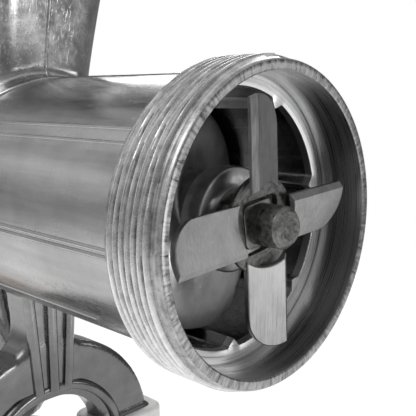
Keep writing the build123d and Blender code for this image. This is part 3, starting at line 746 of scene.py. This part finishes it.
def studio():
    """White surroundings for the eye, with darker bands that only the metal sees."""
    world = bpy.data.worlds.new("studio")
    bpy.context.scene.world = world
    world.use_nodes = True
    tree = world.node_tree
    tree.nodes.clear()
    new = tree.nodes.new
    out = new("ShaderNodeOutputWorld")
    mix = new("ShaderNodeMixShader")
    seen = new("ShaderNodeBackground")
    lit = new("ShaderNodeBackground")
    path = new("ShaderNodeLightPath")
    coords = new("ShaderNodeTexCoord")
    split = new("ShaderNodeSeparateXYZ")
    ramp = new("ShaderNodeValToRGB")
    seen.inputs["Color"].default_value = (1, 1, 1, 1)
    tree.links.new(coords.outputs["Generated"], split.inputs["Vector"])
    shift = new("ShaderNodeMapRange")
    shift.inputs["From Min"].default_value = -1
    tree.links.new(split.outputs["Z"], shift.inputs["Value"])
    tree.links.new(shift.outputs["Result"], ramp.inputs["Fac"])
    stops = [(0.0, 0.4), (0.36, 0.42), (0.45, 0.36), (0.53, 0.22), (0.66, 0.5), (0.74, 0.28),
             (0.86, 0.85), (1.0, 0.5)]
    while len(ramp.color_ramp.elements) < len(stops):
        ramp.color_ramp.elements.new(0.5)
    for element, (place, tone) in zip(ramp.color_ramp.elements, stops):
        element.position = place
        element.color = (tone, tone, tone, 1)
    tree.links.new(ramp.outputs["Color"], lit.inputs["Color"])
    facing = new("ShaderNodeVectorMath")
    facing.operation = "DOT_PRODUCT"
    facing.inputs[1].default_value = (0.62, 0.76, 0)
    tree.links.new(coords.outputs["Generated"], facing.inputs[0])
    strength = new("ShaderNodeMath")
    strength.operation = "MULTIPLY_ADD"
    strength.inputs[1].default_value = -0.45
    strength.inputs[2].default_value = 1.0
    tree.links.new(facing.outputs["Value"], strength.inputs[0])
    tree.links.new(strength.outputs["Value"], lit.inputs["Strength"])
    tree.links.new(path.outputs["Is Camera Ray"], mix.inputs["Fac"])
    tree.links.new(lit.outputs["Background"], mix.inputs[1])
    tree.links.new(seen.outputs["Background"], mix.inputs[2])
    tree.links.new(mix.outputs["Shader"], out.inputs["Surface"])
    softbox("key", (0.1, -0.8, 1.1), (0, 0, 0.08), (0.9, 0.7), 4.0)
    softbox("side", (1.25, 0.42, -0.05), (0.12, 0, 0.09), (0.32, 0.32), 2.1)
    softbox("low_side", (0.9, 0.9, 0.24), (0.12, 0, 0.1), (0.3, 0.22), 0.6)
    softbox("back", (-0.7, 0.8, 0.7), (0, 0, 0.1), (0.7, 0.5), 3.5)
    bpy.context.scene.view_settings.view_transform = "Standard"


def floor():
    """Round pale sheet under the work."""
    size = 900.0
    points = [(size * math.cos(a), size * math.sin(a), FLOOR_Z) for a in ring_angles(96)]
    paint = Paint("floor_paper", (0.93, 0.93, 0.93), 0.0, 0.8)
    paint.shader.inputs["Emission Color"].default_value = (1, 1, 1, 1)
    paint.shader.inputs["Emission Strength"].default_value = 0.24
    mesh = bpy.data.meshes.new("floor")
    mesh.from_pydata([tuple(c * MM for c in p) for p in points], [], [tuple(range(96))])
    mesh.materials.append(paint.material)
    obj = bpy.data.objects.new("floor", mesh)
    bpy.context.scene.collection.objects.link(obj)


# ======== The casting
def barrel_mouth():
    """Threaded, machined front of the barrel, and the ribbed bore behind it."""
    count = 432
    angles = ring_angles(count)
    root = THREAD_R - THREAD_DEPTH
    start = np.pi / 2
    lead = ((angles - start) % (2 * np.pi)) / (2 * np.pi)

    def thread(x):
        turn = (RIM_X - COLLAR - x) / THREAD_PITCH - lead + 0.6
        phase = turn % 1.0
        crest = smooth(phase, 0.22, 0.45) * (1 - smooth(phase, 0.55, 0.78))
        runs = smooth(turn, 0.0, 0.25) * (1 - smooth(turn, THREAD_TURNS - 0.1, THREAD_TURNS + 0.3))
        return root + THREAD_DEPTH * crest * runs

    ribs = np.zeros(count)
    for rib in range(RIFLE_COUNT):
        middle_angle = math.radians(RIFLE_PHASE + rib * 360 / RIFLE_COUNT)
        offset = np.degrees((angles - middle_angle + np.pi) % (2 * np.pi) - np.pi)
        ribs = np.maximum(ribs, np.clip(1.1 * (1 - np.abs(offset) / RIFLE_HALF), 0, 1))
    bore = BORE_R - RIFLE_HEIGHT * ribs
    hidden = BORE_R + 1.4
    stations = [(LINING_X, bore), (LINING_X, hidden), (THREAD_X - 3.0, hidden),
                (THREAD_X - 2.0, BARREL_R - 0.3),
                (THREAD_X - 1.4, BARREL_R + 0.5), (THREAD_X - 1.0, root - 0.6), (THREAD_X - 0.6, root - 0.05)]
    steps = 92
    for step in range(steps + 1):
        x = THREAD_X - 0.4 + (RIM_X - COLLAR + 0.8 - THREAD_X) * step / steps
        stations.append((x, thread(x)))
    stations += [(RIM_X - 1.3, root), (RIM_X - 0.45, root - 0.05), (RIM_X - 0.12, RIM_R + 0.15)]
    stations += [(RIM_X, RIM_R - 0.1), (RIM_X, (RIM_R + SEAT_R) / 2), (RIM_X, SEAT_R + 0.35)]
    stations += [(RIM_X - 0.3, SEAT_R + 0.02), (RIM_X - 4.0, SEAT_R), (RIM_X - 8.0, SEAT_R),
                 (SEAT_X + 0.5, SEAT_R), (SEAT_X + 0.12, SEAT_R + 0.22), (SEAT_X, SEAT_R - 0.2)]
    for share in (0.25, 0.5, 0.75, 0.95):
        inner = SEAT_R - 0.2 + share * (BORE_R - SEAT_R + 0.2)
        rising = ribs * RIFLE_HEIGHT * smooth(share, 0.6, 1.0)
        stations.append((SEAT_X - STEP_DROP * 0.55 * share ** 2, inner - rising))
    stations.append((SEAT_X - STEP_DROP, bore + 0.05))
    for x in np.linspace(SEAT_X - STEP_DROP - 1.5, LINING_X + 2, 14):
        stations.append((x, bore))
    points, faces = lathe(stations, count, "x", (0.0, AXIS_Z))
    finishes = [MAT[key] for key in ("turned", "rim", "cast", "seat", "thread")]
    obj = piece("barrel_mouth", points, faces, finishes, 40.0)
    for face in obj.data.polygons:
        x, y, z = (c / MM for c in face.center)
        reach = math.hypot(y, z - AXIS_Z)
        if x > RIM_X - 0.25 and reach > SEAT_R:
            face.material_index = 1
        elif reach < SEAT_R - 0.3 and SEAT_X - STEP_DROP - 2.2 < x < SEAT_X + 0.1:
            face.material_index = 3
        elif reach > RIM_R and x > THREAD_X - 0.8:
            face.material_index = 4
        elif x < SEAT_X - STEP_DROP or x < THREAD_X - 1.6:
            face.material_index = 2
    return obj


def hopper_distance(x, y, z, inset):
    """Distance to the throat's wall, which widens into the pan, less an inset."""
    rise = np.clip((z - AXIS_Z - 33) / (HOPPER_TOP - AXIS_Z - 33), 0, 1)
    share = 0.42 * rise ** 1.15 + 0.58 * smooth(z, HOPPER_TOP - 36, HOPPER_TOP - 2)
    half_x = THROAT_HALF[0] + share * (HOPPER_HALF[0] - THROAT_HALF[0]) - inset
    half_y = THROAT_HALF[1] + share * (HOPPER_HALF[1] - THROAT_HALF[1]) - inset
    corner = THROAT_CORNER + share * (HOPPER_CORNER - THROAT_CORNER) - inset
    entering = smooth(z, HOPPER_TOP - 36, HOPPER_TOP - 20)
    leaving = 1 - smooth(z, HOPPER_TOP - 14, HOPPER_TOP - 2)
    steep = 1 + 0.6 * entering * leaving
    return rounded_box(x - THROAT_X, y, half_x, half_y, corner) / steep


def casting_field(x, y, z):
    reach = np.sqrt(y ** 2 + (z - AXIS_Z) ** 2)
    barrel = rounded(reach - BARREL_R, bar(x, REAR_X, THREAD_X - 1.2), 9.0)
    barrel = np.where(x > 60, np.maximum(reach - BARREL_R, x - THREAD_X + 1.2), barrel)
    boss = rounded(reach - 17.0, bar(x, BOSS_X, REAR_X + 8), 1.2)
    solid = meet(barrel, boss, 9.0)
    hopper = hopper_distance(x, y, z, 0.0)
    lip = np.sqrt((hopper + 0.2) ** 2 + (z - HOPPER_TOP + 2.7) ** 2) - 2.7
    throat = np.maximum(hopper, bar(z, AXIS_Z, HOPPER_TOP - 0.6))
    solid = meet(solid, throat, 5.0)
    # leg
    arch = np.sqrt(y ** 2 + (z - ARCH_Z) ** 2)
    shoe = np.maximum(np.abs(arch - 34.0) - 10.0, 6.0 - z)
    leg = rounded(shoe, bar(x, LEG_X, LEG_FRONT), 1.6)
    width = 9.2 - 2.5 * smooth(z, 46, 56) + 4.0 * smooth(z, 60, 72)
    neck = rounded(np.abs(y) - width, bar(x, LEG_X, LEG_FRONT), 1.6)
    neck = np.maximum(neck, bar(z, ARCH_Z + 27, AXIS_Z - 31))
    leg = meet(leg, neck, 5.0)
    shaft_z = bar(z, ARCH_Z + 26.5, AXIS_Z - 31)
    spine_half = 6.0 + 3.0 * np.clip((z - 27) / 41, 0, 1)
    spine = rounded(np.abs(y) - spine_half, bar(x, LEG_X, LEG_FRONT + 1.0), 0.8)
    leg = meet(leg, np.maximum(spine, shaft_z), 1.4)
    groove = np.sqrt((arch - 25.4) ** 2 + (x - LEG_FRONT - 0.7) ** 2) - 1.5
    leg = carve(leg, np.maximum(groove, 7.0 - z), 0.8)
    lip_foot = rounded(rounded_box(x - 26.0, np.abs(y) - 34.0, 7.8, 11.0, 3.0), bar(z, 6.0, 9.4), 0.8)
    leg = meet(leg, lip_foot, 1.6)
    solid = meet(solid, leg, 4.0)
    # clamp frame
    web = [(-42, 69), (5, 69), (7, 60), (11, 49), (17, 37), (22, 32), (22, 26), (12, 13), (4, 11), (-33, 11),
           (-42, 19)]
    solid = meet(solid, rounded(polygon(x, z, web), np.abs(y) - 4.0, 1.2), 5.0)
    rib = np.maximum(np.abs((x - 12.0) * 0.64 + (z - 42.0) * 0.77) - 1.6, polygon(x, z, web))
    solid = meet(solid, rounded(rib, np.abs(y) - 5.4, 1.0), 1.6)
    column = [(-47, 89), (-47, -62), (-43, -73), (-36, -82), (-25, -88), (12, -88), (12, -64), (-22, -64),
              (-27, -60), (-29, -54), (-29, 8), (-27, 11), (4, 11), (12, 13), (19, 22), (21, 30), (12, 25),
              (0, 20), (-16, 22),
              (-22, 33), (-22, 89)]
    frame_solid = rounded(polygon(x, z, column), np.abs(y) - 8.5, 1.6)
    pocket = [(-42.5, 23), (-42.5, -62), (-39, -70), (-33, -78), (-25, -83.5), (-14, -83.5), (-14, -68.5),
              (-25, -68.5),
              (-33.5, -58), (-33.5, 23)]
    dish = np.maximum(polygon(x, z, pocket), 5.0 - np.abs(y))
    frame_solid = carve(frame_solid, dish, 2.0)
    solid = meet(solid, frame_solid, 5.0)
    stem = np.sqrt(x ** 2 + y ** 2)
    solid = meet(solid, rounded(stem - 13.0, bar(z, -92, -58), 1.4), 4.0)
    # openings
    solid = carve(solid, np.maximum(hopper_distance(x, y, z, WALL), AXIS_Z + 12 - z), 1.2)
    solid = meet(solid, lip, 1.0)
    solid = carve(solid, np.maximum(reach - BORE_R, bar(x, REAR_X + 5, RIM_X)), 0.8)
    solid = carve(solid, reach - 13.1, 0.5)
    return carve(solid, np.maximum(stem - 6.35, z + 40), 0.6)


def casting():
    """Barrel, throat, hopper, leg, column and lower arm in one piece."""
    boxes = [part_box(node) for node in ("barrel_casting", "hopper_casting", "frame_casting")]
    low = [min(box[0][i] for box in boxes) / MM - 2.5 * CELL for i in range(3)]
    high = [max(box[1][i] for box in boxes) / MM + 2.5 * CELL for i in range(3)]
    high[0] = THREAD_X + 2 * CELL
    return cast("casting", casting_field, low, high, CELL, MAT["cast"])


def on_barrel(x, degrees, lift=0.0):
    """A point on the barrel's skin. The angle runs up from the -Y side."""
    angle = math.radians(degrees)
    return x, -(BARREL_R + lift) * math.cos(angle), AXIS_Z + (BARREL_R + lift) * math.sin(angle)


def mould_lines():
    """Low rounded beads left by the mould, and the leg's cords, each along a path on the casting's skin."""
    along = np.linspace(0, 1, 60)
    ahead = THREAD_X - 1.5
    fillet = []
    for turn in np.radians(np.linspace(-112, 112, 140)):
        c, q = math.cos(turn), math.sin(turn)
        x = THROAT_X + 35.3 * math.copysign(abs(c) ** 0.62, c)
        y = 27.0 * math.copysign(abs(q) ** 0.62, q)
        fillet.append((x, y, AXIS_Z + math.sqrt(BARREL_R ** 2 - y * y) - 0.1))
    front = THROAT_X + THROAT_HALF[0]
    throat = []
    reaches = np.linspace(front - 2, front + 34, 1041)
    for z in np.linspace(AXIS_Z + BARREL_R + 0.5, HOPPER_TOP - 7, 60):
        inside = np.flatnonzero(casting_field(reaches, np.zeros(1041), np.full(1041, z)) < 0)
        if len(inside):
            throat.append((reaches[inside[-1]], 0.0, z))
    paths = [("seam_band_upper", [on_barrel(x, 40.5, -0.1) for x in 36 + (ahead - 36) * along], 0.55),
             ("seam_band_lower", [on_barrel(x, 34.3, -0.2) for x in 36 + (ahead - 36) * along], 0.45),
             ("seam_bead_upper", [on_barrel(x, -4.8, -0.1) for x in 30 + (ahead - 30) * along], 0.6),
             ("seam_bead_lower", [on_barrel(x, -7.4, -0.1) for x in 30 + (ahead - 30) * along], 0.6),
             ("seam_low", [on_barrel(x, -42.5, -0.1) for x in 44 + (ahead - 62) * along], 0.7),
             ("seam_far", [on_barrel(x, 185.0, -0.1) for x in 30 + (ahead - 30) * along], 0.6),
             ("seam_top", [on_barrel(x, 90.0, -0.2) for x in 43 + (ahead - 43) * along], 0.7),
             ("seam_throat_foot", fillet, 0.9), ("seam_throat_front", throat, 0.55)]
    leg = ARCH_Z + 28 + (AXIS_Z - 32 - ARCH_Z - 28) * along
    paths.append(("leg_cord_middle", [(LEG_FRONT + 1.6, 0.0, z) for z in leg], 2.0))
    for side, label in ((-1, "leg_cord_left"), (1, "leg_cord_right")):
        cord = [(LEG_FRONT + 1.4, side * (5.4 + 3.0 * (z - 27) / 41), z) for z in leg]
        paths.append((label, cord, 1.9))
    turns = np.radians(8 + 164 * along)
    arch = [(LEG_FRONT + 0.2, 28.5 * math.cos(a), ARCH_Z + 28.5 * math.sin(a)) for a in turns]
    paths.append(("leg_arch_bead", arch, 1.9))
    beads = []
    for label, path, radius in paths:
        edges = [(i, i + 1) for i in range(len(path) - 1)]
        mesh = bpy.data.meshes.new(label)
        mesh.from_pydata([tuple(c * MM for c in p) for p in path], edges, [])
        beads.append(grown(label, mesh, bead_tree(), {"Bead radius": radius * MM}))
    return joined("mould_lines", beads)


def foot_pad(node):
    """Soft block under a foot, with rounded edges."""
    low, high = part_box(node)
    x = middle(node, 0)
    y = middle(node, 1)
    half_x, half_y = (high[0] - low[0]) / MM / 2, (high[1] - low[1]) / MM / 2
    height = high[2] / MM
    corner = 5.0

    def field(px, py, pz):
        return rounded(rounded_box(px - x, py - y, half_x, half_y, corner), bar(pz, 0, height), 1.6)

    low = (x - half_x - 2, y - half_y - 2, -2)
    high = (x + half_x + 2, y + half_y + 2, height + 2)
    return cast(node + "_moulding", field, low, high, 0.8, MAT["pad"])


# ======== Feed screw, shaft and knife
def feed_screw():
    """One cast flight round a core, with a boss at its nose."""
    x0, x1 = span("auger_screw", 0)
    nose = x1 - 6.4
    tip_r = span("auger_screw", 1)[1]
    core_r = 10.5
    boss_r = 13.0
    bore_r = 8.0
    lead = 31.0
    end_angle = math.radians(285)
    count = 96
    angles = ring_angles(count)
    stations = [(x0, bore_r), (x0, boss_r + 0.5)]
    steps = 260
    for i in range(steps + 1):
        x = x0 + 1.0 + (nose - x0 - 1.0) * i / steps
        turn = (x - nose) / lead * 2 * np.pi + end_angle
        away = np.abs((angles - turn + np.pi) % (2 * np.pi) - np.pi)
        lobe = 1 - smooth(np.degrees(away), 30.0, 84.0)
        fade = smooth(x, nose + 0.1, nose - 3.5) * smooth(x, x0, x0 + 2.5)
        stations.append((x, core_r + (tip_r - core_r) * lobe * fade))
    stations += [(nose, boss_r - 0.4), (nose + 0.4, boss_r), (x1 - 0.6, boss_r), (x1, boss_r - 0.6),
                 (x1, bore_r)]
    return turned("feed_screw", stations, MAT["tinned"], count, sharp=50.0)


def main_shaft():
    """Bar through the feed screw: square and nose pin in front, journal and drive square behind."""
    x0, x1 = span("auger_shaft", 0)
    count = 96
    square = rounded_square(10.8, 2.0, count, 8.0)
    shoulder = x1 - 8.7
    drive = rounded_square(10.0, 1.0, count)
    stations = [(x0 + 12, 0), (x0 + 12, 3.0), (x0, 3.0), (x0, drive * 0.96), (x0 + 0.5, drive),
                (BEARING_X - 2.2, drive), (BEARING_X - 2.0, 8.7),
                (BEARING_X - 1.7, 9.0), (-10.0, 9.0), (-10.0, 7.9), (NOSE_X - 0.5, 7.9),
                (NOSE_X - 0.5, square), (shoulder - 0.5, square), (shoulder - 0.15, square * 0.985),
                (shoulder, square * 0.94), (shoulder, 4.9),
                (shoulder + 0.3, 5.0), (x1 - 1.4, 5.0), (x1 - 1.2, 4.9), (x1 - 0.15, 3.95), (x1, 3.8),
                (x1, 2.0), (x1 - 0.1, 0.0)]
    return turned("main_shaft", stations, MAT["shaft"], count)


KNIFE_TILT = 15.0
BLADE_HALF = 6.0
BLADE_THICK = 1.9
BLADE_CORNER = 8.5
RECESS_R = 10.0


def blade_mesh(reach):
    """One ground blade lying along +Y: root cut by the round recess, leading edge (+Z) bevelled."""
    lead, trail = BLADE_HALF, -BLADE_HALF
    across = np.concatenate([[0, 0.2], np.linspace(0.6, 2 * BLADE_HALF - 1.5, 22),
                             2 * BLADE_HALF - np.array([1.25, 0.9, 0.45, 0.15, 0])]) + trail
    shares = np.concatenate([[0, 0.012], np.linspace(0.04, 0.96, 22), [0.988, 1]])
    root = np.sqrt(RECESS_R ** 2 - across ** 2)
    tip = np.sqrt(reach ** 2 - across ** 2)
    hub = trail + BLADE_CORNER
    reach_corner = math.sqrt(reach ** 2 - hub ** 2) - BLADE_CORNER
    inside = np.clip(hub - across, 0, BLADE_CORNER)
    tip = np.where(across < hub, reach_corner + np.sqrt(BLADE_CORNER ** 2 - inside ** 2), tip)
    grid = []
    for side in (1, -1):
        for share in shares:
            length = root + share * (tip - root)
            edge = min(share, 1 - share) * 18
            drop = 0.2 * max(0, 1 - edge / 0.2)
            lean = np.where(across > lead - 1.25, (across - lead + 1.25) * 0.95, 0) if side > 0 else 0
            lip = 0.2 * np.clip(1 - (across - trail) / 0.2, 0, 1)
            thick = BLADE_THICK / 2 - np.maximum(drop, lip) - lean
            grid.append(np.stack([side * thick + 0 * across, length, across], axis=1))
    rows, columns = len(shares), len(across)
    points = np.concatenate(grid)
    tilt = math.radians(KNIFE_TILT)
    x, z = points[:, 0].copy(), points[:, 2].copy()
    points[:, 0] = x * math.cos(tilt) + z * math.sin(tilt) + middle("cross_knife", 0)
    points[:, 2] = -x * math.sin(tilt) + z * math.cos(tilt)
    faces = []
    half = rows * columns
    for i in range(rows - 1):
        for j in range(columns - 1):
            a = i * columns + j
            faces.append((a, a + 1, a + columns + 1, a + columns))
            faces.append((half + a, half + a + columns, half + a + columns + 1, half + a + 1))
    border = [(0, j) for j in range(columns)] + [(i, columns - 1) for i in range(1, rows)]
    border += [(rows - 1, j) for j in range(columns - 2, -1, -1)] + [(i, 0) for i in range(rows - 2, 0, -1)]
    loop = [i * columns + j for i, j in border]
    for a, b in zip(loop, loop[1:] + loop[:1]):
        faces.append((a, b, half + b, half + a))
    mesh = bpy.data.meshes.new("blade")
    mesh.from_pydata((points * MM).tolist(), [], faces)
    work = bmesh.new()
    work.from_mesh(mesh)
    bmesh.ops.recalc_face_normals(work, faces=work.faces)
    work.to_mesh(mesh)
    work.free()
    return mesh


def cross_knife():
    """Hub floor with a square hole, and four tilted blades set round it."""
    x0, x1 = span("cross_knife", 0)
    count = 96
    hole = rounded_square(12.6, 1.6, count, 8.0)
    floor_x = x1 - 3.6
    stations = [(x0, hole), (x0, 11.4), (x0 + 0.3, 11.7), (floor_x - 0.2, 11.7),
                (floor_x, 11.5), (floor_x, hole + 0.15),
                (floor_x - 0.2, hole)]
    hub = turned("hub", stations, MAT["shaft"], count)
    reach = span("cross_knife", 1)[1]
    tree = round_axis_tree("blades_round_hub", MAT["knife"])
    blades = grown("blades", blade_mesh(reach), tree, {"Count": 4, "First angle": math.radians(3.5)}, 28.0)
    return joined("cross_knife_ground", [hub, blades])


# ======== Crank and grip
def crank_field(x, y, z):
    """Distance to the crank: hub, leaning arm with a groove, and the eye for the grip."""
    eye_x = middle("grip_washer", 0) + 6.25
    hub_x = BEARING_X - 9.0
    drop = AXIS_Z - z
    lean = smooth(drop, 24, 54)
    centre = hub_x + (eye_x - hub_x) * lean
    width = 9.5 - 2.2 * np.clip(drop / 150, 0, 1)
    arm = rounded(rounded_box(x - centre, y, 4.0, width, 3.4), bar(z, GRIP_Z, AXIS_Z), 0.2)
    hub = rounded(np.sqrt(y ** 2 + (z - AXIS_Z) ** 2) - 14.0, np.abs(x - hub_x) - 7.0, 1.6)
    eye = rounded(np.sqrt(y ** 2 + (z - GRIP_Z) ** 2) - 9.5, np.abs(x - eye_x) - 5.5, 1.2)
    solid = meet(meet(arm, hub, 5.0), eye, 4.0)
    groove = rounded_box(y, z - (AXIS_Z + GRIP_Z) / 2 + 4, width - 3.6, 52.0, 3.0)
    solid = carve(solid, np.maximum(groove, centre - 3.0 - x + 5.6), 1.0)
    solid = carve(solid, rounded_box(y, z - AXIS_Z, 5.1, 5.1, 0.9), 0.4)
    return carve(solid, np.sqrt(y ** 2 + (z - GRIP_Z) ** 2) - 4.05, 0.3)


def crank():
    low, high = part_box("crank_arm")
    low = [c / MM - 2 for c in low]
    high = [c / MM + 2 for c in high]
    return cast("crank_casting", crank_field, low, high, 0.85, MAT["cast"])


def wing_screw():
    """Screw that holds the crank on, with two wings to turn it by."""
    x0, x1 = span("crank_wing_screw", 0)
    face = span("crank_screw_washer", 0)[0]
    hub_x = face - 4.5

    def field(x, y, z):
        reach = np.sqrt(y ** 2 + (z - AXIS_Z) ** 2)
        hub = rounded(reach - 6.5, bar(x, face - 9.0, face), 1.2)
        side = np.abs(y)
        out = side / 19.0
        wing_mid = hub_x + 0.5 - 6.5 * smooth(out, 0.2, 1.0)
        wing_half = 2.6 + 3.2 * smooth(out, 0.2, 0.8)
        blade = rounded(rounded_box(x - wing_mid, side, wing_half, 18.4, 2.4), np.abs(z - AXIS_Z) - 1.7, 1.2)
        solid = meet(hub, blade, 2.4)
        stem = rounded(reach - 3.0, bar(x, face - 2, x1), 0.4)
        return meet(solid, stem, 0.4)

    low = (x0 - 2, -22, AXIS_Z - 9)
    return cast("wing_screw", field, low, (x1 + 2, 22, AXIS_Z + 9), 0.6, MAT["plated"])


def grip_wood():
    """Turned wooden grip, fullest near its outer end."""
    x0, x1 = span("wooden_grip", 0)
    full = span("wooden_grip", 1)[1]
    stretch = (x1 - x0) / 92.0      # the knots below are for a grip 92 mm long
    stations = [(x1, 4.1), (x1, 9.6), (x1 - 0.5, 10.1), (x1 - 12.0, 10.1), (x1 - 12.0, 10.5),
                (x1 - 12.4, 11.0)]
    knots = [(12.6, 11.1), (24, 12.1), (35, full - 1.7), (50, full - 0.5), (66, full), (76, full - 0.35),
             (84, full - 1.5),
             (88.5, full - 3.3), (90.6, full - 5.0), (91.6, full - 6.6)]
    places = np.linspace(12.6, 91.6, 70)
    radii = np.interp(places, [k[0] for k in knots], [k[1] for k in knots])
    kernel = np.array([1, 4, 6, 4, 1]) / 16
    for _ in range(6):
        radii[2:-2] = np.convolve(radii, kernel, "valid")
    stations += [(x1 - p * stretch, r) for p, r in zip(places, radii)]
    stations += [(x0, full - 8.0), (x0, 4.1)]
    return turned("grip_wood", stations, MAT["beech"], 96, centre=(0.0, GRIP_Z), sharp=50)


def ferrule():
    """Metal band round the inner end of the grip."""
    x0, x1 = span("grip_ferrule", 0)
    r = span("grip_ferrule", 1)[1]
    stations = [(x0, r - 0.85), (x0, r - 0.2), (x0 + 0.25, r), (x0 + 1.2, r), (x0 + 1.8, r - 0.35),
                (x0 + 2.4, r), (x1 - 1.6, r), (x1 - 0.6, r - 0.3), (x1, r - 1.0), (x1 + 0.02, r - 1.6),
                (x1 - 0.1, r - 1.7), (x1 - 0.2, r - 0.85)]
    return turned("ferrule", stations, MAT["plated"], 96, centre=(0.0, GRIP_Z))


def end_nut():
    """Domed nut on the outer end of the grip's spindle."""
    x0, x1 = span("grip_end_nut", 0)
    r = span("grip_end_nut", 1)[1]
    stations = [(x1, 0), (x1, r - 0.4), (x1 - 0.4, r)]
    for a in np.linspace(0, math.pi / 2, 12):
        stations.append((x1 - 2.6 - (x1 - x0 - 2.6) * math.sin(a), r * math.cos(a)))
    return turned("end_nut", stations, MAT["plated"], 64, centre=(0.0, GRIP_Z))


# ======== Clamp
def clamp_disc():
    """Disc that presses on the table from below, ringed on top, with a socket for the screw."""
    r = span("clamp_pad_disc", 0)[1]
    z0, z1 = span("clamp_pad_disc", 2)
    top = [(z1 - 0.2, 0.0), (z1 - 0.2, 3.0), (z1, 3.4)]
    place = 12.0
    while place < r - 2.5:
        top += [(z1, place), (z1 - 0.7, place + 0.5), (z1 - 0.7, place + 0.9), (z1, place + 1.4)]
        place += 3.0
    stations = top + [(z1, r - 1.0), (z1 - 0.3, r - 0.3), (z1 - 1.0, r), (z1 - 3.4, r), (z1 - 4.4, r - 0.5),
                      (z1 - 5.0, r - 1.8), (z1 - 5.2, 15.0), (z1 - 6.2, 12.2), (z1 - 8.4, 11.1),
                      (z0 + 0.5, 11.0), (z0, 10.5), (z0, 6.3),
                      (z0 + 8.0, 6.3), (z0 + 8.0, 0.0)]
    return turned("clamp_disc", stations, MAT["turned"], 128, "z")


def clamp_spindle():
    """Screw with a real thread, its neck in the disc and the eye for the bar."""
    z0, z1 = span("clamp_screw", 2)
    r = 6.2
    pitch = 2.5
    count = 48
    angles = ring_angles(count)
    neck_top, neck_low = DISC_TOP - 14.0 - 0.4, DISC_TOP - 14.0 - 1.8
    stations = [(z1, 0.0), (z1, r - 2.0), (z1 - 2.0, r), (neck_top - 0.4, r), (neck_top - 0.4, 4.5),
                (neck_low - 0.2, 4.5),
                (neck_low - 0.6, r - 1.0)]
    thread_low = z0 + 21.0
    steps = int((neck_low - 1.0 - thread_low) / pitch * 10)
    for i in range(steps + 1):
        z = neck_low - 1.0 + (thread_low - neck_low + 1.0) * i / steps
        phase = (z / pitch - angles / (2 * np.pi)) % 1.0
        crest = smooth(phase, 0.08, 0.4) * (1 - smooth(phase, 0.6, 0.92))
        fade = smooth(z, thread_low, thread_low + 2.0) * smooth(-z, -neck_low + 1.0, -neck_low + 3.0)
        stations.append((z, r - 1.05 + 1.05 * crest * fade))
    eye = z0 + 18.0
    stations += [(thread_low - 0.5, r - 0.6), (eye + 0.4, r - 0.5), (eye, r), (eye - 1.0, 8.2),
                 (eye - 2.2, 9.0), (z0 + 2.2, 9.0), (z0 + 0.8, 8.4),
                 (z0, 6.8), (z0, 0.0)]
    return turned("clamp_spindle_screw", stations, MAT["plated"], count, "z", sharp=60)


def paint_nodes():
    """Carried-over nodes keep their shape and take a worked material."""
    finish = {"rear_bush": "bronze", "thrust_washer": "nylon", "crank_screw_washer": "plated",
              "grip_spindle": "plated", "grip_washer": "plated", "pad_retaining_ring": "plated",
              "clamp_tommy_bar": "plated",
              "tommy_bar_knob_left": "plated", "tommy_bar_knob_right": "plated"}
    for node, key in finish.items():
        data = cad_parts[node].data
        data.materials.clear()
        data.materials.append(MAT[key])


camera()
studio()
floor()
placed(barrel_mouth(), "housing", "cast_aluminium", "barrel_casting")
placed(casting(), "housing", "cast_aluminium", "barrel_casting", "hopper_casting", "frame_casting")
placed(mould_lines(), "housing", "cast_aluminium")
placed(foot_pad("foot_pad_left"), "housing", "white_pad", "foot_pad_left")
placed(foot_pad("foot_pad_right"), "housing", "white_pad", "foot_pad_right")
placed(feed_screw(), "crank_train", "tinned_iron", "auger_screw")
placed(main_shaft(), "crank_train", "steel_shaft", "auger_shaft")
placed(cross_knife(), "crank_train", "knife_steel", "cross_knife")
placed(crank(), "crank_train", "cast_crank", "crank_arm")
placed(wing_screw(), "crank_train", "plated_steel", "crank_wing_screw")
placed(grip_wood(), "grip", "beech_wood", "wooden_grip")
placed(ferrule(), "grip", "plated_steel", "grip_ferrule")
placed(end_nut(), "crank_train", "plated_steel", "grip_end_nut")
placed(clamp_disc(), "clamp_pad", "cast_disc", "clamp_pad_disc")
placed(clamp_spindle(), "clamp_spindle", "plated_steel", "clamp_screw")
paint_nodes()
